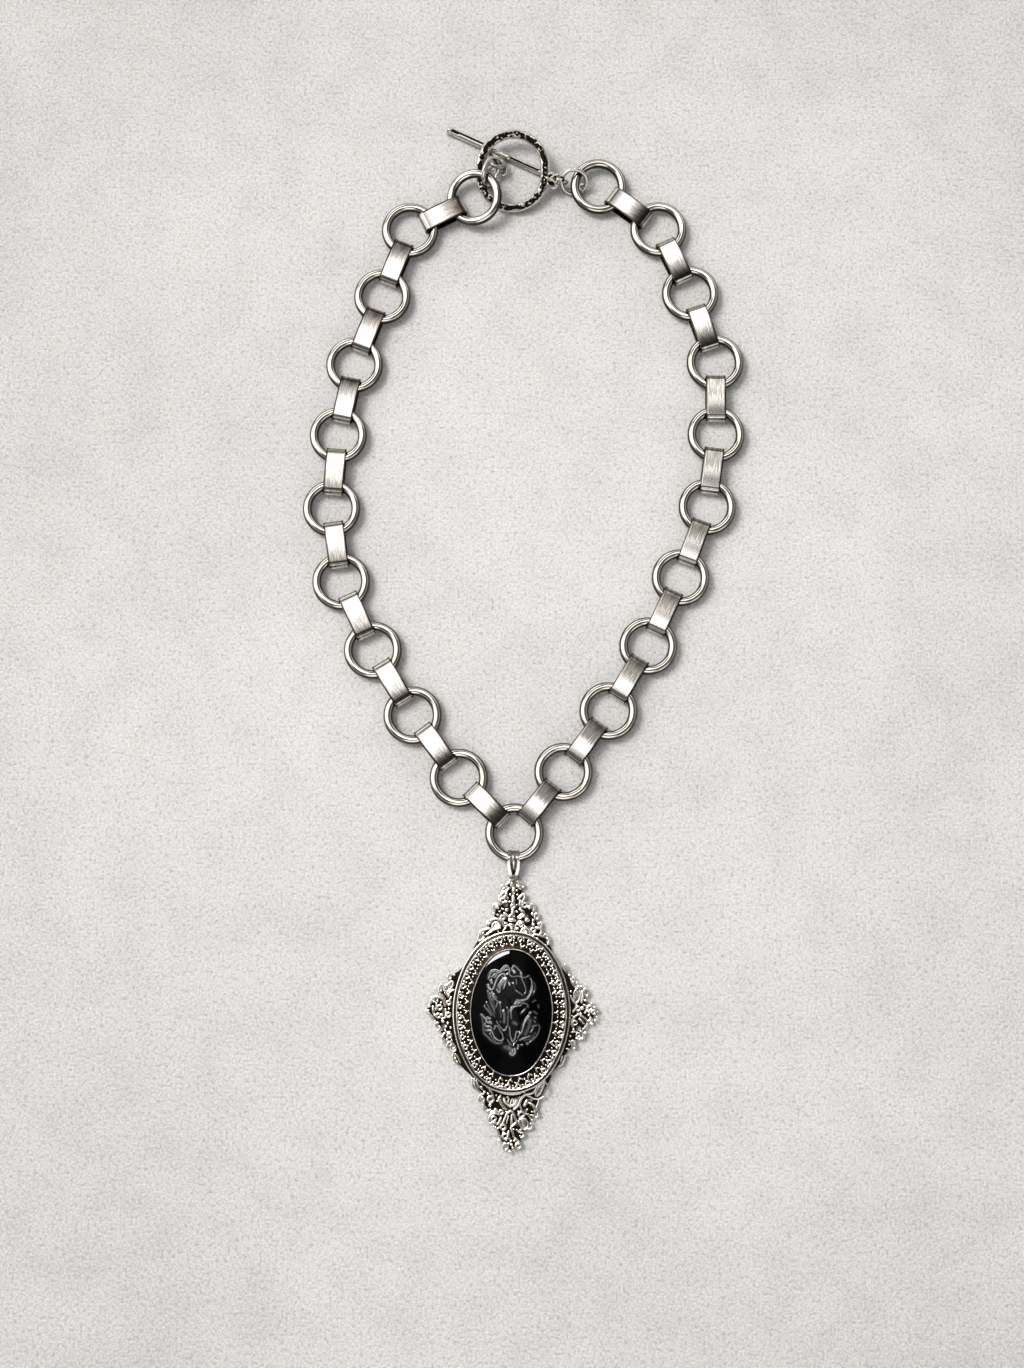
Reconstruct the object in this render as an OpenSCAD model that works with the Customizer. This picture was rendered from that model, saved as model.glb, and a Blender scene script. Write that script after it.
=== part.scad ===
// Cameo pendant necklace, lying flat: rings joined by folded strips, a ring and bar clasp at the far end
// (+Y), and an oval cameo in a bezel setting on an openwork plate, hung by a bail at the near end (-Y).
// Millimetres. The surface is z = 0, and the origin is under the middle of the whole outline.

/* [Chain rings] */
// Outer diameter of a chain ring
ring_od = 14; // [13.8:0.1:14.4]
// Wire diameter of a chain ring
ring_wire = 2.2; // [2:0.05:2.25]
// Height of the ring wire's centre above the surface
ring_height = 1.85; // [1.8:0.01:1.95]

/* [Chain connectors] */
// Outside length of a folded strip
strip_length = 11.7; // [11.6:0.1:12]
// Outside height of a folded strip
strip_height = 3.8; // [3.7:0.05:4]
// Width of the strip
strip_width = 4.8; // [4.4:0.1:5]
// Thickness of the strip
strip_thick = 0.5; // [0.4:0.05:0.55]
// Outside radius of the strip's round ends
strip_end_radius = 1.7; // [1.6:0.05:1.75]

/* [Clasp] */
// Outside width of the toggle ring, across the clasp
toggle_width = 18.4; // [18:0.1:19]
// Outside height of the toggle ring, along the necklace
toggle_length = 20.4; // [19.5:0.1:21]
// Wire diameter of the toggle ring
toggle_wire = 2.3; // [2:0.1:2.4]
// Length of the toggle bar
bar_length = 27; // [24:0.5:29]
// Diameter of the toggle bar
bar_wire = 1.75; // [1.5:0.05:1.8]
// Outer diameter of the jump ring between the bar and the left end of the chain
left_jump_od = 7.85; // [7.8:0.05:8]
// Outer diameter of the jump ring between the toggle ring and the right end of the chain
right_jump_od = 7.2; // [7:0.1:7.4]
// Wire diameter of both jump rings
jump_wire = 0.95; // [0.8:0.05:1]

/* [Cameo] */
// Width of the oval stone
stone_width = 20; // [19:0.5:20.5]
// Height of the oval stone
stone_length = 30; // [29:0.5:31]
// Height of the stone's dome above its girdle
dome_height = 3.2; // [2:0.1:4]
// Height of the carving above the dome
relief_height = 0.9; // [0.4:0.1:1.4]

/* [Setting and plate] */
// Width of the border between the stone and the raised rim
border_width = 3.55; // [3:0.05:4]
// Outward slope of the setting's side wall
wall_flare = 0.85; // [0.4:0.05:1.2]
// Height of the raised rim above the surface
rim_height = 3.6; // [3.2:0.1:4]
// Thickness of the openwork plate
plate_thick = 0.8; // [0.6:0.1:0.9]
// Height of the raised eyelets above the plate
eyelet_rise = 0.45; // [0.2:0.05:0.8]

/* [Hidden] */
// Links of the chain going out from the centre ring: direction and distance to the next ring's centre
HEADING = 0;
PITCH = 1;
LEFT_LINKS = [
    [135.5, 18.6], [126.5, 18.7], [121.5, 18.5], [115, 18.5], [98, 18.2],
    [85.5, 18.3], [78, 18.1], [69, 18.6], [68.5, 18.3], [26.5, 18]
];
RIGHT_LINKS = [
    [51, 18.6], [53.5, 18.2], [58.5, 18.5], [64.5, 18.5], [69, 18.7],
    [82.5, 18.2], [90, 18.1], [108.5, 18.5], [115, 18.2], [143.5, 18.4]
];
// Tilt of the last ring on each side, whose far side is held up by the clasp
LEFT_END_TILT = 15;
RIGHT_END_TILT = 3.5;
side_rings = len(LEFT_LINKS);

ring_mid = (ring_od - ring_wire) / 2;
gap = 0.05;
plated = "#b8b3aa";
aged = "#7d786f";
dark_stone = "#16181c";

// Clasp places, from the centre ring's centre
TOGGLE_PLACE = [-0.4, 164, 2.82];
TOGGLE_TILT = 10.5;
BAR_PLACE = [-4.4, 169.6];
BAR_HEADING = -25.5;
bar_cap_wire = bar_wire + 0.15;
bar_cap_length = 1.2;
bar_sleeve_length = 3;
// The bar's eye stands off on a neck and rises towards the ring it is linked to
EYE_SHIFT = 1.8;
EYE_RISE = 35;
EYE_MID = 1.6;
EYE_WIRE = 1;
EYE_REACH = 3.9;
NECK_WIRE = 1.2;
LEFT_JUMP_PLACE = [1.5, -6.6, 3.71];
LEFT_JUMP_HEADING = 1.6;
LEFT_JUMP_LEAN = 21.5;
RIGHT_JUMP_PLACE = [14.8, 161.2, 2.8];
RIGHT_JUMP_TILT = 42.5;
// The ornament on the toggle ring ends in an upright eye
ORNAMENT_HEADING = -12.8;
ORNAMENT_START = 8.6;
ORNAMENT_NECK = 0.8;
KNOB_START = 9.6;
KNOB_LENGTH = 1.1;
KNOB_RADIUS = 1.3;
KNOB_EDGE = 0.2;
BEAD_RADIUS = 0.75;
BEAD_SPREAD = 1.45;
UPRIGHT_EYE_REACH = 12.2;
UPRIGHT_EYE_DROP = 0.45;
UPRIGHT_EYE_MID = 1.5;
UPRIGHT_EYE_WIRE = 0.9;

// Pendant places: the bail hangs on the near wire of the centre ring
BAIL_X = -0.2;
PENDANT_TURN = -0.8;
PENDANT_DROP = 36.1;
bail_bore = 1.35;
bail_thick = 0.4;
bail_outer = bail_bore + bail_thick;
BAIL_TOP_WIDTH = 2.6;
BAIL_END_WIDTH = 2;
BAIL_END_DROP = 5.3;
BAIL_END_TOP = 1.6;
BAIL_END_BASE = 0.1;
TONGUE_LENGTH = 3;

// Arms of the plate: direction, reach from the middle, start, half width at the start and at the tip,
// lobes per edge
ARM_HEADING = 0;
ARM_REACH = 1;
ARM_START = 2;
ARM_HALF = 3;
ARM_TIP = 4;
ARM_LOBES = 5;
TOP_REACH = 30.7;
BOTTOM_REACH = 33.1;
SIDE_REACH = 20.7;
ARMS = [
    [90, TOP_REACH, 15, 7.8, 1.5, 6],
    [-90, BOTTOM_REACH, 15.5, 8.4, 0.9, 7],
    [0, SIDE_REACH, 11.5, 10.8, 0.9, 6],
    [180, SIDE_REACH, 11.5, 10.8, 0.9, 6]
];
LOBE_RADIUS = 1.25;
PIERCE_RADIUS = 0.6;
EYELET_WALL = 0.5;
PIERCE_STEP = 3;
PIERCE_START = 2;
// How far the plate reaches in under the stone; the middle is open
PLATE_LEDGE = 3;
TONGUE_MARGIN = 0.3;
plate_oval_margin = border_width + wall_flare + 0.1;
setting_base = plate_thick + eyelet_rise + gap;

// The stone's outline is an oval of four arcs; every other oval of the setting is a step outwards from it
OVAL_END_RATIO = 0.76;
oval_a = stone_width / 2;
oval_b = stone_length / 2;
oval_end = oval_a * OVAL_END_RATIO;
oval_side = ((oval_b - oval_end) ^ 2 + oval_a ^ 2 - oval_end ^ 2) / (2 * (oval_a - oval_end));
oval_side_half = atan2(oval_b - oval_end, oval_side - oval_a);

// The carving: a blossom, leaves and a stem. Places are from the stone's middle
BLOSSOM_PLACE = [0, 6];
BLOSSOM_RADIUS = 5.3;
BLOSSOM_PETALS = 5;
LEAF_X = 0;
LEAF_Y = 1;
LEAF_HEADING = 2;
LEAF_LENGTH = 3;
LEAF_WIDTH = 4;
LEAVES = [
    [-4.4, -3.6, 125, 4.6, 2],
    [4.2, -3.4, 55, 4.6, 2],
    [-1.2, -4.6, 105, 3.6, 1.4],
    [1.6, -1.6, 75, 3.2, 1.5],
    [-0.3, -8.4, 88, 2.6, 0.8]
];
LEAF_SHARE = 0.7;
PETAL_DEPTH = 0.12;
CARVING_STEEPNESS = 3;
// The stone stands on the tray's floor, its girdle under the bezel's lip
FLOOR_THICK = 0.75;
stone_seat = setting_base + FLOOR_THICK + gap;
girdle_height = 0.5;
bezel_overlap = 0.6;
DOME_FLATNESS = 2.4;
DOME_FALL = 0.6;
DOME_ROWS = 22;
DOME_COLUMNS = 72;
// Side wall, raised rim, border and lip of the setting
FLOOR_EDGE = -2;
FOOT_HEIGHT = 0.4;
RIM_WIDTH = 0.65;
RIM_BEVEL = 0.3;
BORDER_DEPTH = 0.7;
BORDER_FALL = 0.1;
LIP_THICK = 0.3;
LIP_FOOT = 0.7;
LIP_BACK = 0.45;
LIP_CREST = 0.2;
LIP_EDGE = 0.15;
SEAT_WALL = 0.7;

function unit(heading) = [cos(heading), sin(heading)];
// Centre of the n-th ring of one side of the chain
function ring_place(links, n) =
    n == 0 ? [0, 0] : ring_place(links, n - 1) + links[n - 1][PITCH] * unit(links[n - 1][HEADING]);
function ring_places() = [for (links = [LEFT_LINKS, RIGHT_LINKS], n = [0:side_rings]) ring_place(links, n)];

// The whole outline, so that the origin is under its middle
left_edge = min([for (p = ring_places()) p.x]) - ring_od / 2;
right_edge = max([for (p = ring_places()) p.x]) + ring_od / 2;
near_edge = -ring_mid - (PENDANT_DROP + BOTTOM_REACH) * cos(PENDANT_TURN);
far_edge = BAR_PLACE.y - bar_length / 2 * sin(BAR_HEADING) + bar_cap_wire / 2 * cos(BAR_HEADING);
middle = [(left_edge + right_edge) / 2, (near_edge + far_edge) / 2];

module placed() {
    translate(-middle) children();
}

module torus(mid, wire) {
    rotate_extrude($fn = 96) translate([mid, 0]) circle(d = wire, $fn = 48);
}

module chain_ring() {
    torus(ring_mid, ring_wire);
}

// The n-th ring of a side; it tips up about its wire where the strip holds it
module side_ring(links, n, tilt) {
    heading = links[n - 1][HEADING];
    pivot = ring_place(links, n) - ring_mid * unit(heading);
    color(plated)
        placed()
            translate([pivot.x, pivot.y, ring_height])
                rotate([0, 0, heading])
                    rotate([0, -tilt, 0])
                        translate([ring_mid, 0, 0])
                            chain_ring();
}

// Side view of the folded strip: round ends joined by slightly arched runs
module strip_outline(inset) {
    reach = strip_length / 2 - strip_end_radius;
    rise = strip_height / 2 - strip_end_radius;
    arch_depth = (reach ^ 2 - rise ^ 2) / (2 * rise);
    arch_radius = strip_height / 2 + arch_depth;
    join_x = reach * arch_radius / (arch_radius - strip_end_radius);
    intersection() {
        translate([0, -arch_depth]) circle(r = arch_radius - inset, $fn = 256);
        translate([0, arch_depth]) circle(r = arch_radius - inset, $fn = 256);
        square([2 * join_x, strip_height], center = true);
    }
    for (side = [-1, 1])
        translate([side * reach, 0]) circle(r = strip_end_radius - inset, $fn = 64);
}

// The strip between ring n - 1 and ring n of a side
module connector(links, n) {
    link = links[n - 1];
    from = ring_place(links, n - 1);
    middle_point = from + link[PITCH] / 2 * unit(link[HEADING]);
    color(plated)
        placed()
            translate([middle_point.x, middle_point.y, strip_height / 2])
                rotate([90, 0, link[HEADING]])
                    linear_extrude(strip_width, center = true)
                        difference() {
                            strip_outline(0);
                            strip_outline(strip_thick);
                        }
}

module ring_centre() {
    color(plated) placed() translate([0, 0, ring_height]) chain_ring();
}

module ring_left(n) {
    side_ring(LEFT_LINKS, n, n == side_rings ? LEFT_END_TILT : 0);
}

module ring_right(n) {
    side_ring(RIGHT_LINKS, n, n == side_rings ? RIGHT_END_TILT : 0);
}

// The toggle ring leans on the bar: it turns about the bar's direction
module toggle_frame() {
    translate(TOGGLE_PLACE)
        rotate([0, 0, BAR_HEADING])
            rotate([TOGGLE_TILT, 0, 0])
                rotate([0, 0, -BAR_HEADING])
                    children();
}

module toggle_ring() {
    mid = (toggle_width - toggle_wire) / 2;
    straight = toggle_length - toggle_width;
    color(aged)
        placed()
            toggle_frame() {
                for (end = [0, 1])
                    translate([0, (end == 0 ? 1 : -1) * straight / 2, 0])
                        rotate([0, 0, 180 * end])
                            rotate_extrude(angle = 180, $fn = 96)
                                translate([mid, 0]) circle(d = toggle_wire, $fn = 48);
                for (side = [-1, 1])
                    translate([side * mid, 0, 0])
                        rotate([90, 0, 0])
                            cylinder(h = straight, d = toggle_wire, center = true, $fn = 48);
                rotate([0, 0, ORNAMENT_HEADING]) clasp_ornament();
            }
}

// A turned knob with two beads on the ring's side, ending in an upright eye for the jump ring
module clasp_ornament() {
    knob_end = KNOB_START + KNOB_LENGTH;
    rotate([90, 0, 90])
        rotate_extrude($fn = 64)
            polygon([
                [0, ORNAMENT_START], [ORNAMENT_NECK, ORNAMENT_START],
                [ORNAMENT_NECK, KNOB_START - KNOB_EDGE], [KNOB_RADIUS, KNOB_START + KNOB_EDGE],
                [KNOB_RADIUS, knob_end - KNOB_EDGE],
                [ORNAMENT_NECK, knob_end + KNOB_EDGE], [0, knob_end + KNOB_EDGE]
            ]);
    for (side = [-1, 1])
        translate([KNOB_START + KNOB_LENGTH / 2, side * BEAD_SPREAD, 0])
            rotate([90, 0, 0])
                sphere(r = BEAD_RADIUS, $fn = 48);
    translate([UPRIGHT_EYE_REACH, 0, -UPRIGHT_EYE_DROP])
        rotate([90, 0, 0])
            torus(UPRIGHT_EYE_MID, UPRIGHT_EYE_WIRE);
}

module bar_frame() {
    translate([BAR_PLACE.x, BAR_PLACE.y, bar_cap_wire / 2])
        rotate([0, 0, BAR_HEADING])
            children();
}

module toggle_bar() {
    color(aged)
        placed()
            bar_frame() {
                rotate([0, 90, 0])
                    cylinder(h = bar_length, d = bar_wire, center = true, $fn = 48);
                for (side = [-1, 1])
                    translate([side * (bar_length - bar_cap_length) / 2, 0, 0])
                        rotate([0, 90, 0])
                            cylinder(h = bar_cap_length, d = bar_cap_wire, center = true, $fn = 48);
                translate([EYE_SHIFT, 0, 0])
                    rotate([0, 90, 0])
                        cylinder(h = bar_sleeve_length, d = bar_cap_wire, center = true, $fn = 48);
                rotate([-EYE_RISE, 0, 0]) bar_eye();
            }
}

// The bar's eye and its neck
module bar_eye() {
    translate([EYE_SHIFT, 0, 0]) {
        rotate([90, 0, 0]) cylinder(h = EYE_REACH - EYE_MID, d = NECK_WIRE, $fn = 48);
        translate([0, -EYE_REACH, 0]) torus(EYE_MID, EYE_WIRE);
    }
}

module jump_ring_left() {
    color(plated)
        placed()
            bar_frame()
                translate(LEFT_JUMP_PLACE)
                    rotate([0, 90 - LEFT_JUMP_LEAN, LEFT_JUMP_HEADING])
                        torus((left_jump_od - jump_wire) / 2, jump_wire);
}

module jump_ring_right() {
    color(plated)
        placed()
            translate(RIGHT_JUMP_PLACE)
                rotate([RIGHT_JUMP_TILT, 0, 0])
                    torus((right_jump_od - jump_wire) / 2, jump_wire);
}

// Origin at the bail's loop, on the surface; -Y runs down the pendant
module pendant_frame() {
    translate([BAIL_X, -ring_mid, 0]) rotate([0, 0, PENDANT_TURN]) children();
}

module cameo_frame() {
    pendant_frame() translate([0, -PENDANT_DROP, 0]) children();
}

// A tapered strip folded over the centre ring's wire; its two legs hold the plate's tongue
module bail() {
    color(plated)
        placed()
            pendant_frame()
                intersection() {
                    rotate([90, 0, 90])
                        linear_extrude(BAIL_TOP_WIDTH, center = true)
                            difference() {
                                bail_side(0);
                                bail_side(bail_thick);
                            }
                    linear_extrude(2 * strip_height)
                        polygon([
                            [-BAIL_TOP_WIDTH / 2, bail_outer], [BAIL_TOP_WIDTH / 2, bail_outer],
                            [BAIL_END_WIDTH / 2, -BAIL_END_DROP], [-BAIL_END_WIDTH / 2, -BAIL_END_DROP]
                        ]);
                }
}

// Side view of the bail: a loop round the wire with its legs running to the plate
module bail_side(inset) {
    cut = inset > 0 ? 1 : 0;
    translate([0, ring_height]) circle(r = bail_outer - inset, $fn = 64);
    polygon([
        [0, ring_height + bail_outer - inset],
        [-BAIL_END_DROP - cut, BAIL_END_TOP - inset],
        [-BAIL_END_DROP - cut, BAIL_END_BASE + inset],
        [0, ring_height - bail_outer + inset]
    ]);
}

// Oval of four arcs, a step outside the stone's outline
module oval(step) {
    for (end = [-1, 1])
        translate([0, end * (oval_b - oval_end)]) circle(r = oval_end + step, $fn = 128);
    intersection() {
        side_centre = oval_side - oval_a;
        translate([-side_centre, 0]) circle(r = oval_side + step, $fn = 256);
        translate([side_centre, 0]) circle(r = oval_side + step, $fn = 256);
        square([
            2 * (oval_a + step),
            2 * ((oval_side + step) * sin(oval_side_half))
        ], center = true);
    }
}

// Sweeps a profile, given as steps from the stone's outline and heights, round the oval
module oval_sweep() {
    end_half = 90 - oval_side_half;
    for (end = [90, -90])
        translate([0, sign(end) * (oval_b - oval_end), 0])
            rotate([0, 0, end - end_half])
                rotate_extrude(angle = 2 * end_half, $fn = 128)
                    translate([oval_end, 0]) children();
    for (side = [0, 180])
        translate([(side == 0 ? -1 : 1) * (oval_side - oval_a), 0, 0])
            rotate([0, 0, side - oval_side_half])
                rotate_extrude(angle = 2 * oval_side_half, $fn = 256)
                    translate([oval_side, 0]) children();
}

// Place on an arm: distance along it from its start to its tip, and share of its half width there
function arm_point(arm, along, across) =
    let (
        half = arm[ARM_HALF] + (arm[ARM_TIP] - arm[ARM_HALF]) * along,
        reach = arm[ARM_START] + (arm[ARM_REACH] - LOBE_RADIUS - arm[ARM_START]) * along
    )
    [reach, across * half];
// Pierced holes of an arm, in rows that narrow towards its tip
function pierced(arm) = [
    for (row = [0:floor((arm[ARM_REACH] - arm[ARM_START]) / PIERCE_STEP) - 2])
        let (
            along = (PIERCE_START + row * PIERCE_STEP) / (arm[ARM_REACH] - arm[ARM_START]),
            half = arm_point(arm, along, 1).y,
            count = max(1, floor(2 * half / PIERCE_STEP))
        )
        for (k = [0:count - 1])
            arm_point(arm, along, count == 1 ? 0 : (2 * k / (count - 1) - 1) * (1 - 1 / count))
];

module arm_outline(arm) {
    start = arm_point(arm, 0, 1);
    tip = arm_point(arm, 1, 1);
    rotate([0, 0, arm[ARM_HEADING]]) {
        polygon([[0, start.y], start, tip, [tip.x, -tip.y], [start.x, -start.y], [0, -start.y]]);
        translate([tip.x, 0]) circle(r = LOBE_RADIUS, $fn = 48);
        for (side = [-1, 1], k = [0:arm[ARM_LOBES] - 1])
            translate(arm_point(arm, k / arm[ARM_LOBES], side)) circle(r = LOBE_RADIUS, $fn = 48);
    }
}

module filigree_plate() {
    tongue_width = BAIL_END_WIDTH - 2 * TONGUE_MARGIN;
    tongue_thick = BAIL_END_TOP - BAIL_END_BASE - 2 * bail_thick - 4 * gap;
    color(aged)
        placed()
            cameo_frame() {
                linear_extrude(plate_thick)
                    difference() {
                        union() {
                            for (arm = ARMS) arm_outline(arm);
                            oval(plate_oval_margin);
                        }
                        piercings(PIERCE_RADIUS);
                        oval(-PLATE_LEDGE);
                    }
                translate([0, 0, plate_thick / 2])
                    linear_extrude(plate_thick / 2 + eyelet_rise)
                        difference() {
                            piercings(PIERCE_RADIUS + EYELET_WALL);
                            piercings(PIERCE_RADIUS);
                        }
                translate([-tongue_width / 2, TOP_REACH - LOBE_RADIUS, BAIL_END_BASE + bail_thick + 2 * gap])
                    cube([tongue_width, TONGUE_LENGTH, tongue_thick]);
            }
}

module piercings(radius) {
    for (arm = ARMS)
        rotate([0, 0, arm[ARM_HEADING]])
            for (p = pierced(arm))
                translate(p) circle(r = radius, $fn = 32);
}

module bezel_setting() {
    rim = border_width - bezel_overlap;
    base = rim + wall_flare;
    floor_top = stone_seat - gap;
    border_edge = rim_height - BORDER_DEPTH;
    lip_base = stone_seat + girdle_height + dome(1 - bezel_overlap / oval_a) + 2 * gap;
    lip_top = lip_base + LIP_THICK;
    color(plated)
        placed()
            cameo_frame() {
                oval_sweep()
                    polygon([
                        [FLOOR_EDGE, setting_base], [base, setting_base], [base, setting_base + FOOT_HEIGHT],
                        [rim, rim_height - RIM_BEVEL], [rim - RIM_BEVEL / 2, rim_height],
                        [rim + RIM_BEVEL / 2 - RIM_WIDTH, rim_height], [rim - RIM_WIDTH, border_edge],
                        [LIP_FOOT, border_edge + BORDER_FALL], [LIP_BACK, lip_top - LIP_EDGE],
                        [LIP_CREST, lip_top], [-bezel_overlap, lip_base + LIP_EDGE],
                        [-bezel_overlap, lip_base], [gap, stone_seat + girdle_height + SEAT_WALL],
                        [gap, floor_top], [FLOOR_EDGE, floor_top]
                    ]);
                translate([0, 0, setting_base])
                    linear_extrude(floor_top - setting_base)
                        oval(FLOOR_EDGE);
            }
}

// Point of the stone's outline whose outward direction is t
function oval_point(t) =
    abs(cos(t)) > cos(oval_side_half)
        ? [sign(cos(t)) * (oval_a - oval_side) + oval_side * cos(t), oval_side * sin(t)]
        : [oval_end * cos(t), sign(sin(t)) * (oval_b - oval_end) + oval_end * sin(t)];
// Height of a carved shape: full in its middle, falling steeply at its edge, where share is 1
function carved(share) = share >= 1 ? 0 : min(1, CARVING_STEEPNESS * (1 - share));
function blossom(p) =
    let (
        q = p - BLOSSOM_PLACE,
        petal = BLOSSOM_RADIUS * (1 - PETAL_DEPTH + PETAL_DEPTH * cos(BLOSSOM_PETALS * atan2(q.y, q.x)))
    )
    carved(norm(q) / petal);
function leaf(p, row) =
    let (
        q = p - [row[LEAF_X], row[LEAF_Y]],
        along = q * unit(row[LEAF_HEADING]),
        across = q * unit(row[LEAF_HEADING] + 90)
    )
    LEAF_SHARE * carved((along / row[LEAF_LENGTH]) ^ 2 + (across / row[LEAF_WIDTH]) ^ 2);
function carving(p) = relief_height * max(concat([blossom(p)], [for (row = LEAVES) leaf(p, row)]));
function dome(share) = dome_height * (1 - share ^ DOME_FLATNESS) ^ DOME_FALL;
function stone_point(row, column) =
    let (
        share = 1 - row / DOME_ROWS,
        p = share * oval_point(360 * column / DOME_COLUMNS)
    )
    [p.x, p.y, stone_seat + girdle_height + dome(share) + carving(p)];

// Domed oval stone with a raised carving, as rows of points from the girdle to the top
module cameo_stone() {
    rows = DOME_ROWS;
    columns = DOME_COLUMNS;
    outline = [for (c = [0:columns - 1]) let (p = oval_point(360 * c / columns)) [p.x, p.y, stone_seat]];
    dome_points = [for (r = [0:rows - 1], c = [0:columns - 1]) stone_point(r, c)];
    top = len(outline) + len(dome_points);
    sides = [
        for (r = [0:rows - 1], c = [0:columns - 1])
            let (next = (c + 1) % columns, low = r * columns, high = low + columns)
                for (face = [[low + c, high + c, high + next], [low + c, high + next, low + next]]) face
    ];
    cap = [for (c = [0:columns - 1]) [rows * columns + c, top, rows * columns + (c + 1) % columns]];
    color(dark_stone)
        placed()
            cameo_frame()
                polyhedron(
                    points = concat(outline, dome_points, [stone_point(rows, 0)]),
                    faces = concat([[for (c = [0:columns - 1]) c]], sides, cap),
                    convexity = 4
                );
}

ring_centre();
for (n = [1:side_rings])
    ring_left(n);
for (n = [1:side_rings])
    ring_right(n);
for (n = [1:side_rings])
    connector(LEFT_LINKS, n);
for (n = [1:side_rings])
    connector(RIGHT_LINKS, n);
toggle_ring();
toggle_bar();
jump_ring_left();
jump_ring_right();
bail();
filigree_plate();
bezel_setting();
cameo_stone();
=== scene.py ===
import logging
import math
from dataclasses import dataclass, field
from enum import Enum
from functools import partial
from typing import Callable, Sequence

import bmesh
import bpy
import numpy as np
from mathutils import Euler, Matrix, Vector
from mathutils.geometry import tessellate_polygon


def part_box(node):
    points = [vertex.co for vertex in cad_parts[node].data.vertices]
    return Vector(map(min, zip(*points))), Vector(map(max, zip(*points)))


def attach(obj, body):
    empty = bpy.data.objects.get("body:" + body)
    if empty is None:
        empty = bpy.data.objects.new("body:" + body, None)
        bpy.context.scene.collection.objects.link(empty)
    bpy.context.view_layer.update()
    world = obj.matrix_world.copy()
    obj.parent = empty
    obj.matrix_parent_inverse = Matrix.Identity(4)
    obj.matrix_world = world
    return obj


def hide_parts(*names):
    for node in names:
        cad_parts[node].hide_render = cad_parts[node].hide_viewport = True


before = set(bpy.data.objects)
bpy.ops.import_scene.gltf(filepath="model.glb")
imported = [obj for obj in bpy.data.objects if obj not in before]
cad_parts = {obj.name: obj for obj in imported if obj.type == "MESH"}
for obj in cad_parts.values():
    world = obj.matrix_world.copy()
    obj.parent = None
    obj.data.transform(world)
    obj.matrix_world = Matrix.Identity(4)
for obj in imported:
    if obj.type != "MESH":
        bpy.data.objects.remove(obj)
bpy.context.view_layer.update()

log = logging.getLogger("necklace")

MM = 0.001
UP = np.array([0.0, 0.0, 1.0])
FLAT = (1, 1, 0)

Array = np.ndarray
Point = Sequence[float]
Colour = tuple[float, float, float]
Socket = bpy.types.NodeSocket
Piece = bpy.types.Object
Finish = bpy.types.Material


class Slot(Enum):
    """Material slots of the record."""

    RINGS = "ring_metal"
    STRIPS = "strip_metal"
    CLASP = "clasp_metal"
    SETTING = "setting_metal"
    STONE = "cameo_glass"


class Side(Enum):
    """The two halves of the chain, seen from above with the pendant nearest."""

    LEFT = "left"
    RIGHT = "right"


class Motif(Enum):
    """Kinds of ornament on the openwork plate."""

    WIRE = "wire"
    LOOP = "loop"
    EYELET = "eyelet"
    LEAF = "leaf"


Stroke = tuple[Motif, float, list[Point]]
Ridge = tuple[float, float, float, list[Point]]
Arm = tuple[float, float, float, float, float]


# Plain geometry


def node_middle(node: str) -> Array:
    """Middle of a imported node's box, in millimetres."""
    return np.mean(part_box(node), axis=0) / MM


def unit(rows: Array) -> Array:
    """Rows, or one vector, scaled to length 1."""
    return rows / np.linalg.norm(rows, axis=-1, keepdims=True)


def travelled(path: Array) -> Array:
    """Distance along a path at each of its points."""
    return np.append(0, np.cumsum(np.linalg.norm(np.diff(path, axis=0), axis=1)))


def full_turn(count: int) -> Array:
    """Evenly spaced angles of a full turn, in radians."""
    return np.linspace(0, 2 * math.pi, count, endpoint=False)


def raised(flat: Array, height: Array | float) -> Array:
    """Rows of x and y, lifted to one height or to a height each."""
    return np.column_stack([flat, np.broadcast_to(height, len(flat))])


def smoothstep(low: Array | float, high: Array | float, value: Array | float) -> Array:
    """Soft step from 0 at low to 1 at high."""
    t = np.clip((value - low) / (high - low), 0, 1)
    return t * t * (3 - 2 * t)


def direction(zenith: float, azimuth: float) -> tuple[float, float, float]:
    """Unit vector at a zenith angle and an azimuth in degrees."""
    z, a = math.radians(zenith), math.radians(azimuth)
    return math.sin(z) * math.cos(a), math.sin(z) * math.sin(a), math.cos(z)


def hashed(values: Array, seed: float) -> Array:
    """Repeatable numbers from 0 to 1 that look random, one for each value; the seed chooses them."""
    return np.modf(np.abs(np.sin(values * 12.9898 + seed * 78.233) * 43758.5453))[0]


def turned(axis: int, points: Array, degrees: float) -> Array:
    """Turns points about an axis by the right-hand rule.

    Args:
        axis: 0 for X, 1 for Y and 2 for Z.
        points: rows of x, y, z, or one point.
        degrees: angle.

    Returns:
        The turned rows.
    """
    c, s = math.cos(math.radians(degrees)), math.sin(math.radians(degrees))
    a, b = (axis + 1) % 3, (axis + 2) % 3
    matrix = np.eye(3)
    matrix[a, a] = matrix[b, b] = c
    matrix[a, b], matrix[b, a] = s, -s
    return points @ matrix


turn_x, turn_y, turn_z = (partial(turned, axis) for axis in range(3))


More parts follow.
